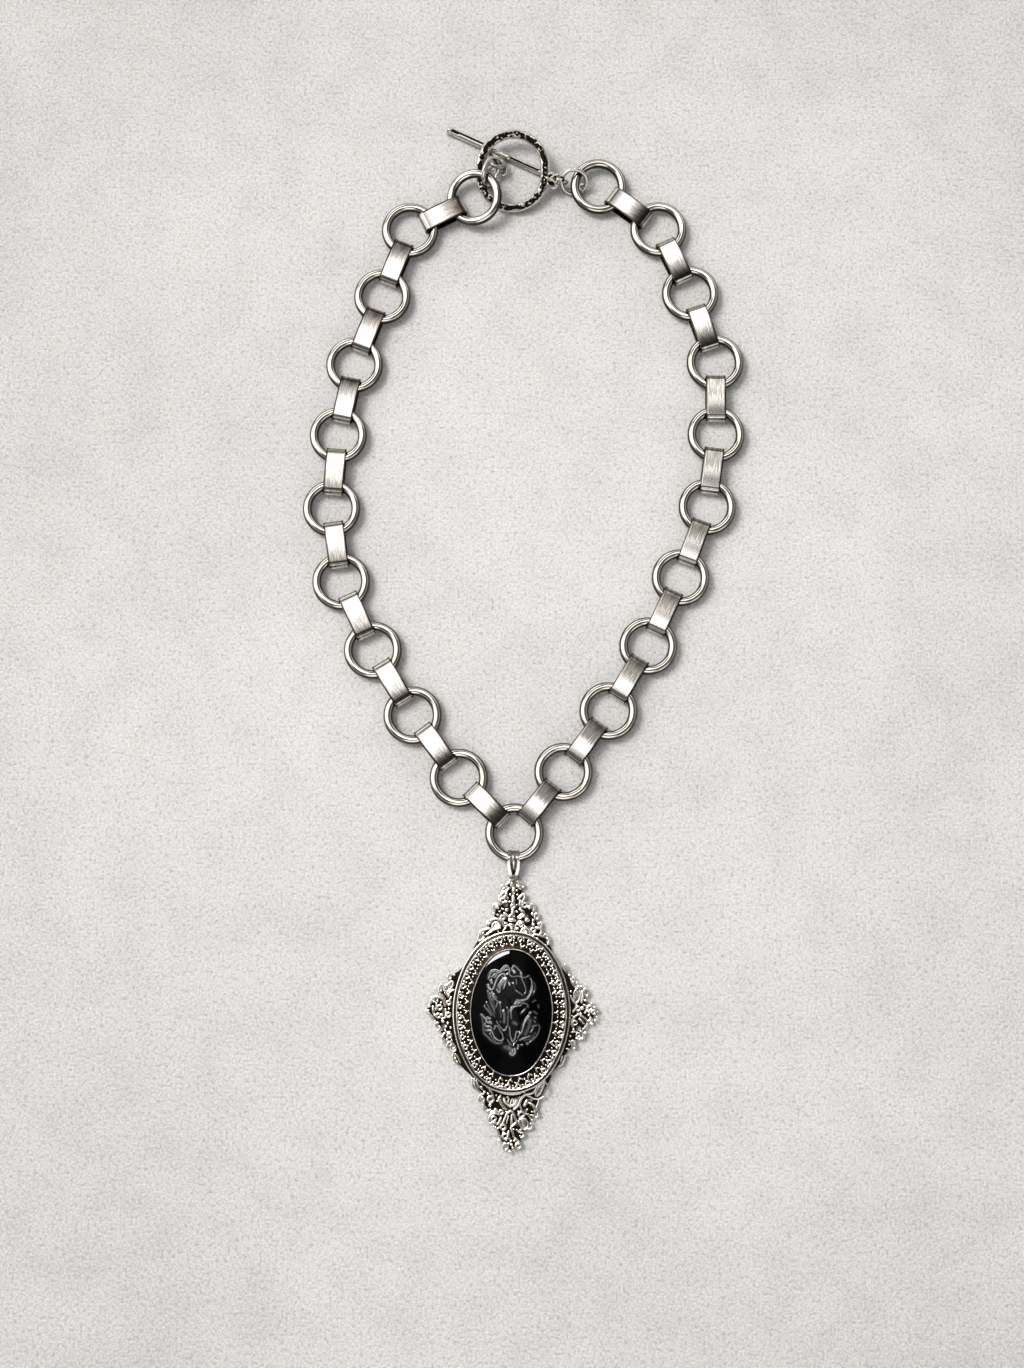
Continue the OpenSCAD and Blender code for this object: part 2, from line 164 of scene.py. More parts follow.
def eased(points: Sequence[Point], steps: int = 5, closed: bool = False) -> Array:
    """Runs a smooth curve through points.

    Args:
        points: two or three numbers each.
        steps: pieces between two neighbouring points.
        closed: whether the curve returns to its first point.

    Returns:
        Rows of points on the curve.
    """
    p = np.array(points, float)
    if len(p) < 3:
        t = np.linspace(0, 1, steps + 1)[:, None]
        return p[0] * (1 - t) + p[-1] * t
    if closed:
        p = np.vstack([p[-1], p, p[0], p[1]])
    else:
        p = np.vstack([2 * p[0] - p[1], p, 2 * p[-1] - p[-2]])
    t = np.linspace(0, 1, steps, endpoint=False)[:, None]
    runs = []
    for a, b, c, d in zip(p[:-3], p[1:-2], p[2:-1], p[3:]):
        runs.append(b + 0.5 * t * (c - a + t * (2 * a - 5 * b + 4 * c - d + t * (3 * (b - c) + d - a))))
    if not closed:
        runs.append(p[-2][None, :])
    return np.vstack(runs)


def circle_points(radius: float, steps: int, start: float = 0, sweep: float = 360) -> Array:
    """Points on a circle in the XY plane.

    Args:
        radius: of the circle.
        steps: number of points.
        start: angle of the first point, in degrees.
        sweep: angle covered; a full turn leaves out the repeated point.

    Returns:
        Rows of x, y, z with z = 0.
    """
    a = np.radians(start + np.linspace(0, sweep, steps, endpoint=abs(sweep) < 360))
    return np.stack([radius * np.cos(a), radius * np.sin(a), 0 * a], 1)


def around(path: Array, radius: Array, across: Array, lift: Array, angles: Array) -> Array:
    """Loops of points round a path.

    Args:
        path: rows of x, y, z.
        radius: one row for each point of the path, of one number or one for each angle.
        across: direction of angle 0, one for all or one for each point of the path.
        lift: direction of a quarter turn, likewise.
        angles: of each loop's points, in radians.

    Returns:
        Array of loops, points in a loop, and x, y, z.
    """
    c, s = np.cos(angles)[:, None], np.sin(angles)[:, None]
    return path[:, None, :] + radius[..., None] * (c * across[..., None, :] + s * lift[..., None, :])


@dataclass(frozen=True)
class Oval:
    """Oval of four arcs round the stone; other ovals are a step outside it.

    Attributes:
        width: across the stone.
        length: along the stone.
        end_share: radius of the end arcs, as a share of half the width.
        fine: number of steps in which its length is measured.
    """

    width: float = 20.0
    length: float = 30.0
    end_share: float = 0.76
    fine: int = 2880

    def facing(self, angle: Array, step: float = 0.0) -> Array:
        """Points whose outward direction is a given angle.

        Args:
            angle: in radians.
            step: distance outside the stone's outline.

        Returns:
            Rows of x and y.
        """
        a, b = self.width / 2, self.length / 2
        end = a * self.end_share
        side = ((b - end) ** 2 + a * a - end * end) / (2 * (a - end))
        c, s = np.cos(angle), np.sin(angle)
        on_side = np.abs(c) > math.cos(math.atan2(b - end, side - a))
        x = np.where(on_side, np.sign(c) * (a - side) + (side + step) * c, (end + step) * c)
        y = np.where(on_side, (side + step) * s, np.sign(s) * (b - end) + (end + step) * s)
        return np.stack([x, y], 1)

    def distance(self, points: Array) -> float:
        """How far outside the stone's outline the nearest of some points is; none lies inside."""
        edge = self.facing(np.linspace(0, 2 * math.pi, 361))
        return float(np.linalg.norm(points[:, None, :] - edge[None, :, :], axis=2).min())

    def even(self, step: float, count: int) -> tuple[Array, Array]:
        """Evenly spaced points round the oval.

        Args:
            step: distance outside the stone's outline.
            count: number of points.

        Returns:
            Rows of x and y, and the outward direction at each in radians.
        """
        fine = np.linspace(0, 2 * math.pi, self.fine + 1)
        run = travelled(self.facing(fine, step))
        angle = np.interp(np.linspace(0, run[-1], count, endpoint=False), run, fine)
        return self.facing(angle, step), angle


# Metal and glass in mesh form


def put(name: str, data: bpy.types.ID) -> Piece:
    """Makes an object of some data and links it to the scene.

    Args:
        name: of the object.
        data: a mesh, a light or a camera.

    Returns:
        The object.
    """
    made = bpy.data.objects.new(name, data)
    bpy.context.scene.collection.objects.link(made)
    return made


def carry(mesh: bpy.types.Mesh, name: str, values: Array) -> None:
    """Stores a number, or a row of three, with each vertex of a mesh.

    Args:
        mesh: changed in place.
        name: of the attribute.
        values: one number or row for each vertex.
    """
    kind, key = ("FLOAT", "value") if values.ndim == 1 else ("FLOAT_VECTOR", "vector")
    layer = mesh.attributes.new(name, kind, "POINT")
    layer.data.foreach_set(key, values.astype(np.float32).reshape(-1))


def face_outwards(mesh: bpy.types.Mesh) -> None:
    """Turns a closed mesh's faces outwards.

    Args:
        mesh: changed in place.
    """
    work = bmesh.new()
    work.from_mesh(mesh)
    bmesh.ops.recalc_face_normals(work, faces=work.faces)
    work.to_mesh(mesh)
    work.free()


@dataclass
class Work:
    """Closed shells in millimetres, gathered and made one mesh.

    Attributes:
        points: vertex rows of each shell.
        faces: faces with vertex numbers.
        patina: how dark each vertex is, from 0 bright to 1 dark: oxidised metal in hollows, and painted
            shade.
    """

    points: list[Array] = field(default_factory=list)
    faces: list[tuple[int, ...]] = field(default_factory=list)
    patina: list[Array] = field(default_factory=list)

    def add(self, points: Array, faces: Sequence[Sequence[int]], patina: Array | float = 0.0) -> None:
        """Adds one shell.

        Args:
            points: rows of x, y, z.
            faces: vertex numbers within this shell.
            patina: one number, or one for each vertex.
        """
        start = sum(len(p) for p in self.points)
        self.faces += [tuple(i + start for i in face) for face in faces]
        self.points.append(points)
        self.patina.append(np.broadcast_to(patina, len(points)))

    def loft(
        self, loops: Array, ring: bool, patina: Array | float = 0.0, ends: Sequence[float] | None = None
    ) -> None:
        """Skins closed loops one after another.

        Args:
            loops: array of loops, points in a loop, and x, y, z.
            ring: whether the last loop joins the first; if not, the ends are capped.
            patina: one number, or one for each loop and point.
            ends: patina in the middle of each cap, which is its loop's mean unless given.
        """
        n, m, _ = loops.shape
        points = loops.reshape(-1, 3)
        values = np.broadcast_to(patina, (n, m)).reshape(-1)
        index = np.arange(n * m).reshape(n, m)
        if ring:
            index = np.vstack([index, index[:1]])
        after = np.roll(index, -1, 1)
        faces = np.stack([index[:-1], after[:-1], after[1:], index[1:]], -1).reshape(-1, 4).tolist()
        if not ring:
            points = np.vstack([points, loops[0].mean(0), loops[-1].mean(0)])
            values = np.append(values, ends or [values[:m].mean(), values[-m:].mean()])
            faces += [(n * m, b, a) for a, b in zip(index[0], after[0])]
            faces += [(n * m + 1, a, b) for a, b in zip(index[-1], after[-1])]
        self.add(points, faces, values)

    def wire(
        self,
        path: Array,
        radius: Array | float,
        up: Point = UP,
        sides: int = 8,
        ring: bool = False,
        flat: float = 1.0,
        patina: Array | float = 0.0,
    ) -> None:
        """Adds a round wire with rounded ends.

        Args:
            path: rows of x, y, z along the wire.
            radius: one number, or one for each point.
            up: direction that the wire's section is set up from.
            sides: points round the wire.
            ring: whether the wire closes on itself.
            flat: height of the section as a share of its width.
            patina: one number, or one for each point of the path.
        """
        radius, dark = np.broadcast_to(radius, len(path)), np.broadcast_to(patina, len(path))
        if ring:
            along = np.roll(path, -1, 0) - np.roll(path, 1, 0)
        else:
            turns = np.radians([30, 65])
            first, last = (
                path[end] + np.outer(radius[end] * np.sin(turns), unit(path[end] - path[near]))
                for end, near in ((0, 1), (-1, -2))
            )
            path = np.vstack([first[::-1], path, last])
            ends = np.cos(turns)
            radius = np.concatenate([radius[0] * ends[::-1], radius, radius[-1] * ends])
            dark = np.pad(dark, len(turns), mode="edge")
            along = np.gradient(path, axis=0)
        along = unit(along)
        up = np.asarray(up, float)
        lift = unit(up - (along @ up)[:, None] * along)
        loops = around(path, radius[:, None], np.cross(along, lift), flat * lift, full_turn(sides))
        self.loft(loops, ring, dark[:, None])

    def bead(
        self, middle: Point, radius: float, half: float = 0.1, axis: Array = UP, sides: int = 12,
        patina: float = 0.0,
    ) -> None:
        """Adds a rounded bead, as a very short wire.

        Args:
            middle: of the bead.
            radius: across its axis.
            half: half the straight length along its axis.
            axis: its direction.
            sides: points round the axis.
            patina: of the whole bead.
        """
        path = np.array(middle) + np.outer((-half, half), axis)
        self.wire(path, radius, up=(1, 0, 0), sides=sides, patina=patina)

    def sheet(self, rim: Array, holes: Sequence[Array], low: float, high: float, patina: float) -> None:
        """Adds a flat sheet with holes.

        Args:
            rim: rows of x and y round the sheet.
            holes: rows of x and y round each hole.
            low: height of its underside.
            high: height of its face.
            patina: of the whole sheet.
        """
        loops = [rim, *holes]
        caps = tessellate_polygon([[Vector((x, y, 0.0)) for x, y in loop.tolist()] for loop in loops])
        flat = np.vstack(loops)
        n = len(flat)
        faces = [tuple(cap) for cap in caps] + [tuple(i + n for i in cap[::-1]) for cap in caps]
        start = 0
        for loop in loops:
            below = start + np.arange(len(loop))
            after = np.roll(below, -1)
            faces += np.stack([below, after, n + after, n + below], 1).tolist()
            start += len(loop)
        self.add(np.vstack([raised(flat, z) for z in (low, high)]), faces, patina)

    def moved(self, place: Callable[[Array], Array]) -> "Work":
        """The same work, with every shell's points placed by a function."""
        self.points = [place(p) for p in self.points]
        return self

    def darkened(self, low: float, high: float) -> "Work":
        """The same work, dark under the lower height and as it was above the higher one.

        Args:
            low: height under which it is fully dark.
            high: height above which nothing changes.

        Returns:
            The work itself.
        """
        shade = 1 - smoothstep(low, high, np.vstack(self.points)[:, 2])
        self.patina = [np.maximum(shade, np.concatenate(self.patina))]
        return self

    def build(self, name: str, smooth: float = 40.0, side_shade: float = 0.0) -> Piece:
        """Makes the mesh object, in metres, with outward faces.

        Args:
            name: of the object.
            smooth: edges sharper than this many degrees stay sharp.
            side_shade: how dark the faces that stand upright or look down are painted, as painted shade.

        Returns:
            The object, linked to the scene.
        """
        mesh = bpy.data.meshes.new(name)
        mesh.from_pydata((np.vstack(self.points) * MM).tolist(), [], self.faces)
        face_outwards(mesh)
        normals = np.zeros(3 * len(mesh.vertices), np.float32)
        mesh.vertex_normals.foreach_get("vector", normals)
        # Faces that stand upright or look down are painted dark, as painted shade.
        painted_side_shade = side_shade * smoothstep(0.62, 0.15, normals[2::3])
        carry(mesh, "patina", np.maximum(np.concatenate(self.patina), painted_side_shade))
        mesh.shade_smooth()
        mesh.set_sharp_from_angle(angle=math.radians(smooth))
        return put(name, mesh)


def dress(piece: Piece, metal: Finish, slot: Slot, nodes: Sequence[str] = ()) -> Piece:
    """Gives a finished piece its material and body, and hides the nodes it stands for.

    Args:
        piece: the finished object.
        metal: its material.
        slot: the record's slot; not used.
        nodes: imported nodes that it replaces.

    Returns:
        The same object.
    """
    piece.data.materials.clear()
    piece.data.materials.append(metal)
    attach(piece, "root")
    if nodes:
        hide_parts(*nodes)
    log.info("%s: %d faces, stands for %d nodes", piece.name, len(piece.data.polygons), len(nodes))
    return piece


# Node trees


class Wiring:
    """A node tree with short calls for what its users share."""

    def __init__(self, tree: bpy.types.NodeTree) -> None:
        """Takes the tree that the nodes go in."""
        self.tree = tree

    def feed(self, node: bpy.types.Node, inputs: dict[str | int, object]) -> None:
        """Sets a node's inputs.

        Args:
            node: the node.
            inputs: by name or number, a socket to link or a value to set.
        """
        for key, given in inputs.items():
            if isinstance(given, Socket):
                self.tree.links.new(given, node.inputs[key])
            else:
                node.inputs[key].default_value = given

    def node(
        self, kind: str, inputs: dict[str | int, object] | None = None, **values: object
    ) -> bpy.types.Node:
        """Adds a node.

        Args:
            kind: Blender's name of the node type.
            inputs: by name or number, a socket to link or a value to set.
            values: property names and values.

        Returns:
            The node.
        """
        made = self.tree.nodes.new(kind)
        for key, value in values.items():
            setattr(made, key, value)
        self.feed(made, inputs or {})
        return made

    def maths(self, operation: str, first: Socket, second: Socket | float) -> Socket:
        """One step of arithmetic on two values."""
        return self.node("ShaderNodeMath", {0: first, 1: second}, operation=operation).outputs[0]

    def spread(self, value: Socket, source: Point, target: Point, curve: str = "LINEAR") -> Socket:
        """Maps one range to another, with its ends held.

        Args:
            value: the number to map.
            source: ends of its range.
            target: what they become.
            curve: Blender's name of the interpolation.

        Returns:
            The mapped number.
        """
        ends = dict(zip(("From Min", "From Max", "To Min", "To Max"), (*source, *target)))
        made = self.node("ShaderNodeMapRange", {"Value": value, **ends}, interpolation_type=curve)
        return made.outputs["Result"]


class Tree(Wiring):
    """A Geometry Nodes tree with named inputs, ending in Realize Instances and Set Material."""

    def __init__(self, name: str, kinds: dict[str, str]) -> None:
        """Starts a tree, whose first input is Layout and whose last is Metal.

        Args:
            name: of the tree.
            kinds: names and kinds of the inputs between them.
        """
        super().__init__(bpy.data.node_groups.new(name, "GeometryNodeTree"))
        face = self.tree.interface
        face.new_socket("Geometry", in_out="OUTPUT", socket_type="NodeSocketGeometry")
        for key, kind in {"Layout": "Geometry", **kinds, "Metal": "Material"}.items():
            face.new_socket(key, in_out="INPUT", socket_type="NodeSocket" + kind)
        self.given = self.node("NodeGroupInput").outputs

    def named(self, attribute: str) -> Socket:
        """Reads a vector that the layout's points carry."""
        reader = self.node("GeometryNodeInputNamedAttribute", {"Name": attribute}, data_type="FLOAT_VECTOR")
        return reader.outputs["Attribute"]

    def smooth(self, mesh: Socket) -> Socket:
        """Sets smooth shading."""
        return self.node("GeometryNodeSetShadeSmooth", {"Geometry": mesh}).outputs["Geometry"]

    def repeat(self, template: Socket) -> "Tree":
        """Sets the template on every point of the layout, turned and sized by its attributes.

        Args:
            template: the geometry to repeat.

        Returns:
            The finished tree.
        """
        turn = self.node("FunctionNodeEulerToRotation", {0: self.named("turn")})
        place = self.node("GeometryNodeInstanceOnPoints", {
            "Points": self.given["Layout"], "Instance": template,
            "Rotation": turn.outputs[0], "Scale": self.named("size"),
        })
        real = self.node("GeometryNodeRealizeInstances", {"Geometry": place.outputs["Instances"]})
        finish = self.node("GeometryNodeSetMaterial", {
            "Geometry": real.outputs["Geometry"], "Material": self.given["Metal"],
        })
        self.node("NodeGroupOutput", {"Geometry": finish.outputs["Geometry"]})
        return self


@dataclass(frozen=True)
class Layout:
    """Points that carry a turn, a size and perhaps a painted end shade, for a tree to set things on.

    Attributes:
        points: rows of x, y, z in millimetres.
        turns: rows of Euler angles in radians.
        sizes: rows of scales.
        end_shades: how dark each thing is painted towards one end, as painted shade; one number for each
            point.
    """

    points: Array
    turns: Array
    sizes: Array
    end_shades: Array | None = None

    def grow(self, name: str, tree: Tree, inputs: dict[str, object]) -> Piece:
        """Runs a tree over the points and keeps its result as a plain mesh.

        Args:
            name: of the finished object.
            tree: the Geometry Nodes tree.
            inputs: values for its named inputs.

        Returns:
            The finished object.
        """
        mesh = bpy.data.meshes.new(name + "_layout")
        mesh.from_pydata((self.points * MM).tolist(), [], [])
        for key, values in (("turn", self.turns), ("size", self.sizes), ("tone", self.end_shades)):
            if values is not None:
                carry(mesh, key, values)
        carrier = put(mesh.name, mesh)
        modifier = carrier.modifiers.new("repeat", "NODES")
        modifier.node_group = tree.tree
        for item in tree.tree.interface.items_tree:
            if item.in_out == "INPUT" and item.name in inputs:
                modifier[item.identifier] = inputs[item.name]
        depsgraph = bpy.context.evaluated_depsgraph_get()
        depsgraph.update()
        result = bpy.data.meshes.new_from_object(
            carrier.evaluated_get(depsgraph), preserve_all_data_layers=True, depsgraph=depsgraph
        )
        carrier.modifiers.remove(modifier)
        bpy.data.objects.remove(carrier)
        result.name = name
        face_outwards(result)
        return put(name, result)

    def copies(self, name: str, template: Piece, metal: Finish) -> Piece:
        """Sets copies of an object on the points.

        Args:
            name: of the finished object.
            template: the object to repeat; it is removed afterwards.
            metal: the copies' material.

        Returns:
            The finished object.
        """
        made = self.grow(name, template_tree(name + "_tree"), {"Template": template, "Metal": metal})
        bpy.data.objects.remove(template)
        return made


def template_tree(name: str) -> Tree:
    """Tree that repeats another object's mesh, given in its input Template.

    Args:
        name: of the tree.

    Returns:
        The tree.
    """
    tree = Tree(name, {"Template": "Object"})
    info = tree.node("GeometryNodeObjectInfo", {"Object": tree.given["Template"]})
    return tree.repeat(info.outputs["Geometry"])


def bead_tree(name: str) -> Tree:
    """Tree that sets a small ball on every point; its inputs are Bead Sides and Bead Rows.

    Args:
        name: of the tree.

    Returns:
        The tree.
    """
    tree = Tree(name, {"Bead Sides": "Int", "Bead Rows": "Int"})
    ball = tree.node("GeometryNodeMeshUVSphere", {
        "Segments": tree.given["Bead Sides"], "Rings": tree.given["Bead Rows"], "Radius": MM,
    })
    return tree.repeat(tree.smooth(ball.outputs["Mesh"]))


def ring_tree(name: str) -> Tree:
    """Tree that sets a wire ring on every point; it is painted dark where it faces sideways, as painted
    shade.

    Args:
        name: of the tree.

    Returns:
        The tree, with the inputs Ring Diameter, Wire Diameter, Ring Steps and Wire Steps.
    """
    kinds = {"Ring Diameter": "Float", "Wire Diameter": "Float", "Ring Steps": "Int", "Wire Steps": "Int"}
    tree = Tree(name, kinds)
    outer, wire, ring_steps, wire_steps = (tree.given[key] for key in kinds)
    line, section = (
        tree.node("GeometryNodeCurvePrimitiveCircle", {
            "Resolution": steps, "Radius": tree.maths("MULTIPLY", across, 0.5),
        }).outputs["Curve"]
        for steps, across in ((ring_steps, tree.maths("SUBTRACT", outer, wire)), (wire_steps, wire))
    )
    sweep = tree.node("GeometryNodeCurveToMesh", {"Curve": line, "Profile Curve": section})
    facing = tree.node("ShaderNodeSeparateXYZ", {0: tree.node("GeometryNodeInputNormal").outputs["Normal"]})
    # The ring's sideways-facing faces are painted dark, as painted shade.
    store = tree.node("GeometryNodeStoreNamedAttribute", {
        "Geometry": tree.smooth(sweep.outputs["Mesh"]), "Name": "patina",
        "Value": tree.spread(facing.outputs["Z"], (0.9, 0.6), (0.0, 1.0)),
    }, data_type="FLOAT", domain="POINT")
    return tree.repeat(store.outputs["Geometry"])


# Finishes


class Sheet(Wiring):
    """A material's nodes, with short calls for what the finishes share."""

    def __init__(self, name: str) -> None:
        """Starts a material of this name with a Principled shader.

        Args:
            name: of the material.
        """
        self.material = bpy.data.materials.new(name)
        self.material.use_nodes = True
        super().__init__(self.material.node_tree)

    def finished(self, inputs: dict[str, object]) -> Finish:
        """Sets the shader's inputs and returns the material."""
        self.feed(self.tree.nodes["Principled BSDF"], inputs)
        return self.material

    def place(self, output: str = "Object", scale: Point = (1, 1, 1)) -> Socket:
        """Coordinates from an output of the Texture Coordinate node, scaled along each axis."""
        source = self.node("ShaderNodeTexCoord").outputs[output]
        return self.node("ShaderNodeMapping", {"Vector": source, "Scale": scale}).outputs["Vector"]

    def noise(self, where: Socket, marks: float, detail: float = 3.0) -> Socket:
        """Cloudy noise from 0 to 1, by its marks in a unit of the coordinates and its finer layers."""
        made = self.node("ShaderNodeTexNoise", {"Vector": where, "Scale": marks, "Detail": detail})
        return made.outputs["Fac"]

    def attribute(self, name: str) -> Socket:
        """A number that the piece's mesh carries."""
        return self.node("ShaderNodeAttribute", attribute_name=name).outputs["Fac"]

    def blend(self, share: Socket, first: Socket | Colour, second: Colour) -> Socket:
        """Colour between two, by a share from 0 to 1.

        Args:
            share: 0 for the first colour, 1 for the second.
            first: a colour or a socket that carries one.
            second: a colour.

        Returns:
            The mixed colour.
        """
        start = first if isinstance(first, Socket) else (*first, 1)
        made = self.node("ShaderNodeMix", {"A": start, "B": (*second, 1), "Factor": share}, data_type="RGBA")
        return made.outputs["Result"]

    def bump(self, height: Socket, distance: float, strength: float) -> Socket:
        """Small relief in the shader, with its distance in metres."""
        made = self.node("ShaderNodeBump", {"Height": height, "Distance": distance, "Strength": strength})
        return made.outputs["Normal"]

    def darkening(self, marks: float, detail: float, grain: float, ends: Point) -> Socket:
        """How dark the metal is, by the mesh's oxidised hollows and painted shade, and some noise.

        Args:
            marks: of the noise, in a metre.
            detail: its finer layers.
            grain: how much the edge between bright and dark wanders with it.
            ends: the patina of clean and of dark metal.

        Returns:
            A share from 0 to 1.
        """
        stray = self.spread(self.noise(self.place(), marks, detail), (0.3, 0.7), (-grain, grain))
        return self.spread(self.maths("ADD", self.attribute("patina"), stray), ends, (0, 1))


@dataclass(frozen=True)
class PolishedPlate:
    """Polished plate of the chain rings, painted dark brown where it faces sideways, as painted shade.

    Attributes:
        name: of the material.
        bright: colour of clean metal.
        oxide_and_shade: colour of the painted shade on its sideways faces.
    """

    name: str = "polished_plate"
    bright: Colour = (0.83, 0.775, 0.705)
    oxide_and_shade: Colour = (0.055, 0.04, 0.027)

    def material(self) -> Finish:
        """Makes the material.

        Returns:
            The material.
        """
        sheet = Sheet(self.name)
        # Sideways faces of the rings are painted dark, as painted shade.
        dark = sheet.darkening(500, 4, 0.08, (0.12, 0.85))
        return sheet.finished({
            "Base Color": sheet.blend(dark, self.bright, self.oxide_and_shade),
            "Metallic": 1,
            "Roughness": sheet.spread(dark, (0, 1), (0.05, 0.2)),
        })


@dataclass(frozen=True)
class BrushedPlate:
    """Plate brushed along the folded strips; the strips carry a map in millimetres.

    Attributes:
        name: of the material.
        bright: colour between the scratches.
        scratch: colour of the scratches.
        oxide_and_shade: colour of the painted shade on the edges, inner faces and folds.
        painted_end_shade: colour of the darker end of a strip, painted there as painted shade.
        fall: how soon that end sets in, under 1 for sooner.
    """

    name: str = "brushed_plate"
    bright: Colour = (0.87, 0.825, 0.77)
    scratch: Colour = (0.62, 0.57, 0.51)
    oxide_and_shade: Colour = (0.07, 0.052, 0.036)
    painted_end_shade: Colour = (0.062, 0.052, 0.042)
    fall: float = 0.45

    def material(self) -> Finish:
        """Makes the material.

        Returns:
            The material.
        """
        sheet = Sheet(self.name)
        streaks, fine, wander = (
            sheet.noise(sheet.place("UV", (along, across, 1)), 1.0)
            for along, across in ((0.7, 6.0), (1.6, 15.0), (0.3, 2.8))
        )
        share = sheet.spread(sheet.maths("MULTIPLY", streaks, fine), (0.15, 0.42), (0, 1))
        body = sheet.blend(share, self.bright, self.scratch)
        # Each strip is painted darker towards one end, as painted shade, with brushed streaks in it.
        place = sheet.maths("MULTIPLY", sheet.attribute("along"), sheet.attribute("tone"))
        stray = sheet.spread(wander, (0.3, 0.7), (-0.28, 0.28))
        painted_end_shade = sheet.spread(sheet.maths("ADD", place, stray), (0, 1.05), (0, 0.97))
        body = sheet.blend(sheet.maths("POWER", painted_end_shade, self.fall), body, self.painted_end_shade)
        darkening = sheet.spread(sheet.attribute("patina"), (0.1, 0.8), (0, 1))
        return sheet.finished({
            "Base Color": sheet.blend(darkening, body, self.oxide_and_shade),
            "Metallic": 1,
            "Roughness": sheet.spread(fine, (0.3, 0.7), (0.1, 0.17)),
            "Normal": sheet.bump(fine, 0.000004, 0.9),
        })


@dataclass(frozen=True)
class AntiquePlate:
    """Cast plate, oxidised in its recesses and rubbed bright on top; its dark also carries the painted shade
    of the meshes.

    Attributes:
        name: of the material.
        bright: colour of the rubbed metal.
        oxide_and_shade: colour in the recesses, and of the painted shade.
        grain: how much the edge between bright and dark wanders.
        marks: marks of that wandering in a metre.
        edge: width of the passage from bright to dark.
    """

    name: str = "antique_plate"
    bright: Colour = (0.89, 0.84, 0.77)
    oxide_and_shade: Colour = (0.02, 0.014, 0.009)
    grain: float = 0.2
    marks: float = 1400
    edge: float = 0.6

    def material(self) -> Finish:
        """Makes the material.

        Returns:
            The material.
        """
        sheet = Sheet(self.name)
        # Dark where the meshes carry oxidised hollows and painted shade.
        dark = sheet.darkening(self.marks, 3, self.grain, (0.5 - self.edge / 2, 0.5 + self.edge / 2))
        return sheet.finished({
            "Base Color": sheet.blend(dark, self.bright, self.oxide_and_shade),
            "Metallic": 1,
            "Roughness": sheet.spread(dark, (0, 1), (0.23, 0.5)),
            "Normal": sheet.bump(sheet.spread(dark, (0, 1), (1, 0)), 0.00004, 0.5),
        })


@dataclass(frozen=True)
class CarvedGlass:
    """Opaque black glass: glossy ground, grey frosted carving, whose grey also carries painted highlights on
    the ridges.

    Attributes:
        name: of the material.
        ground: colour of the polished glass.
        frost: colour of the frosted ridges, with their painted highlight.
    """

    name: str = "carved_black_glass"
    ground: Colour = (0.0016, 0.0016, 0.0018)
    frost: Colour = (0.66, 0.66, 0.66)

    def material(self) -> Finish:
        """Makes the material.

        Returns:
            The material.
        """
        sheet = Sheet(self.name)
        where, frost = sheet.place(), sheet.attribute("frost")
        grain = sheet.spread(sheet.noise(where, 1800, 4), (0.3, 0.7), (0.7, 1.1))
        return sheet.finished({
            # The frosted grey also stands for painted highlights on the ridges.
            "Base Color": sheet.blend(sheet.maths("MULTIPLY", frost, grain), self.ground, self.frost),
            "Roughness": sheet.spread(frost, (0, 0.4), (0.03, 0.36)),
            "Specular IOR Level": 0.02,
            "Normal": sheet.bump(sheet.maths("MULTIPLY", sheet.noise(where, 3000), frost), 0.00004, 0.5),
        })


@dataclass(frozen=True)
class Plaster:
    """Pale plaster of the floor, softly mottled and finely pitted, and painted darker away from its middle as
    painted shade.

    Attributes:
        name: of the material.
        light: colour of most of it.
        shade: colour of the darker clouds, and of the painted shade away from the middle.
        middle: the brightest place, in metres; it is painted slowly darker away from there, as painted shade.
    """

    name: str = "pale_plaster"
    light: Colour = (0.797, 0.779, 0.763)
    shade: Colour = (0.43, 0.419, 0.407)
    middle: Point = (0.015, -0.005, 0.0)

    def material(self) -> Finish:
        """Makes the material.

        Returns:
            The material.
        """
        sheet = Sheet(self.name)
        where = sheet.place()
        grain = sheet.noise(where, 1100, 6)
        apart = sheet.node("ShaderNodeVectorMath", {0: where, 1: self.middle}, operation="DISTANCE")
        # Painted shade: the floor darkens away from its middle.
        dark = sheet.spread(apart.outputs["Value"], (0.07, 0.23), (0, 0.28))
        for marks, source, depth in (
            (sheet.noise(where, 14, 5), (0.35, 0.72), 0.17),
            (sheet.noise(where, 90, 4), (0.42, 0.75), 0.14),
            (grain, (0.54, 0.72), 0.55),
            (sheet.noise(where, 1900, 4), (0.34, 0.66), 0.58),
        ):
            dark = sheet.maths("ADD", dark, sheet.spread(marks, source, (0, depth)))
        return sheet.finished({
            "Base Color": sheet.blend(dark, self.light, self.shade),
            "Roughness": 0.85,
            "Normal": sheet.bump(sheet.spread(grain, (0.3, 0.7), (1, 0)), 0.00012, 0.7),
        })


# The necklace


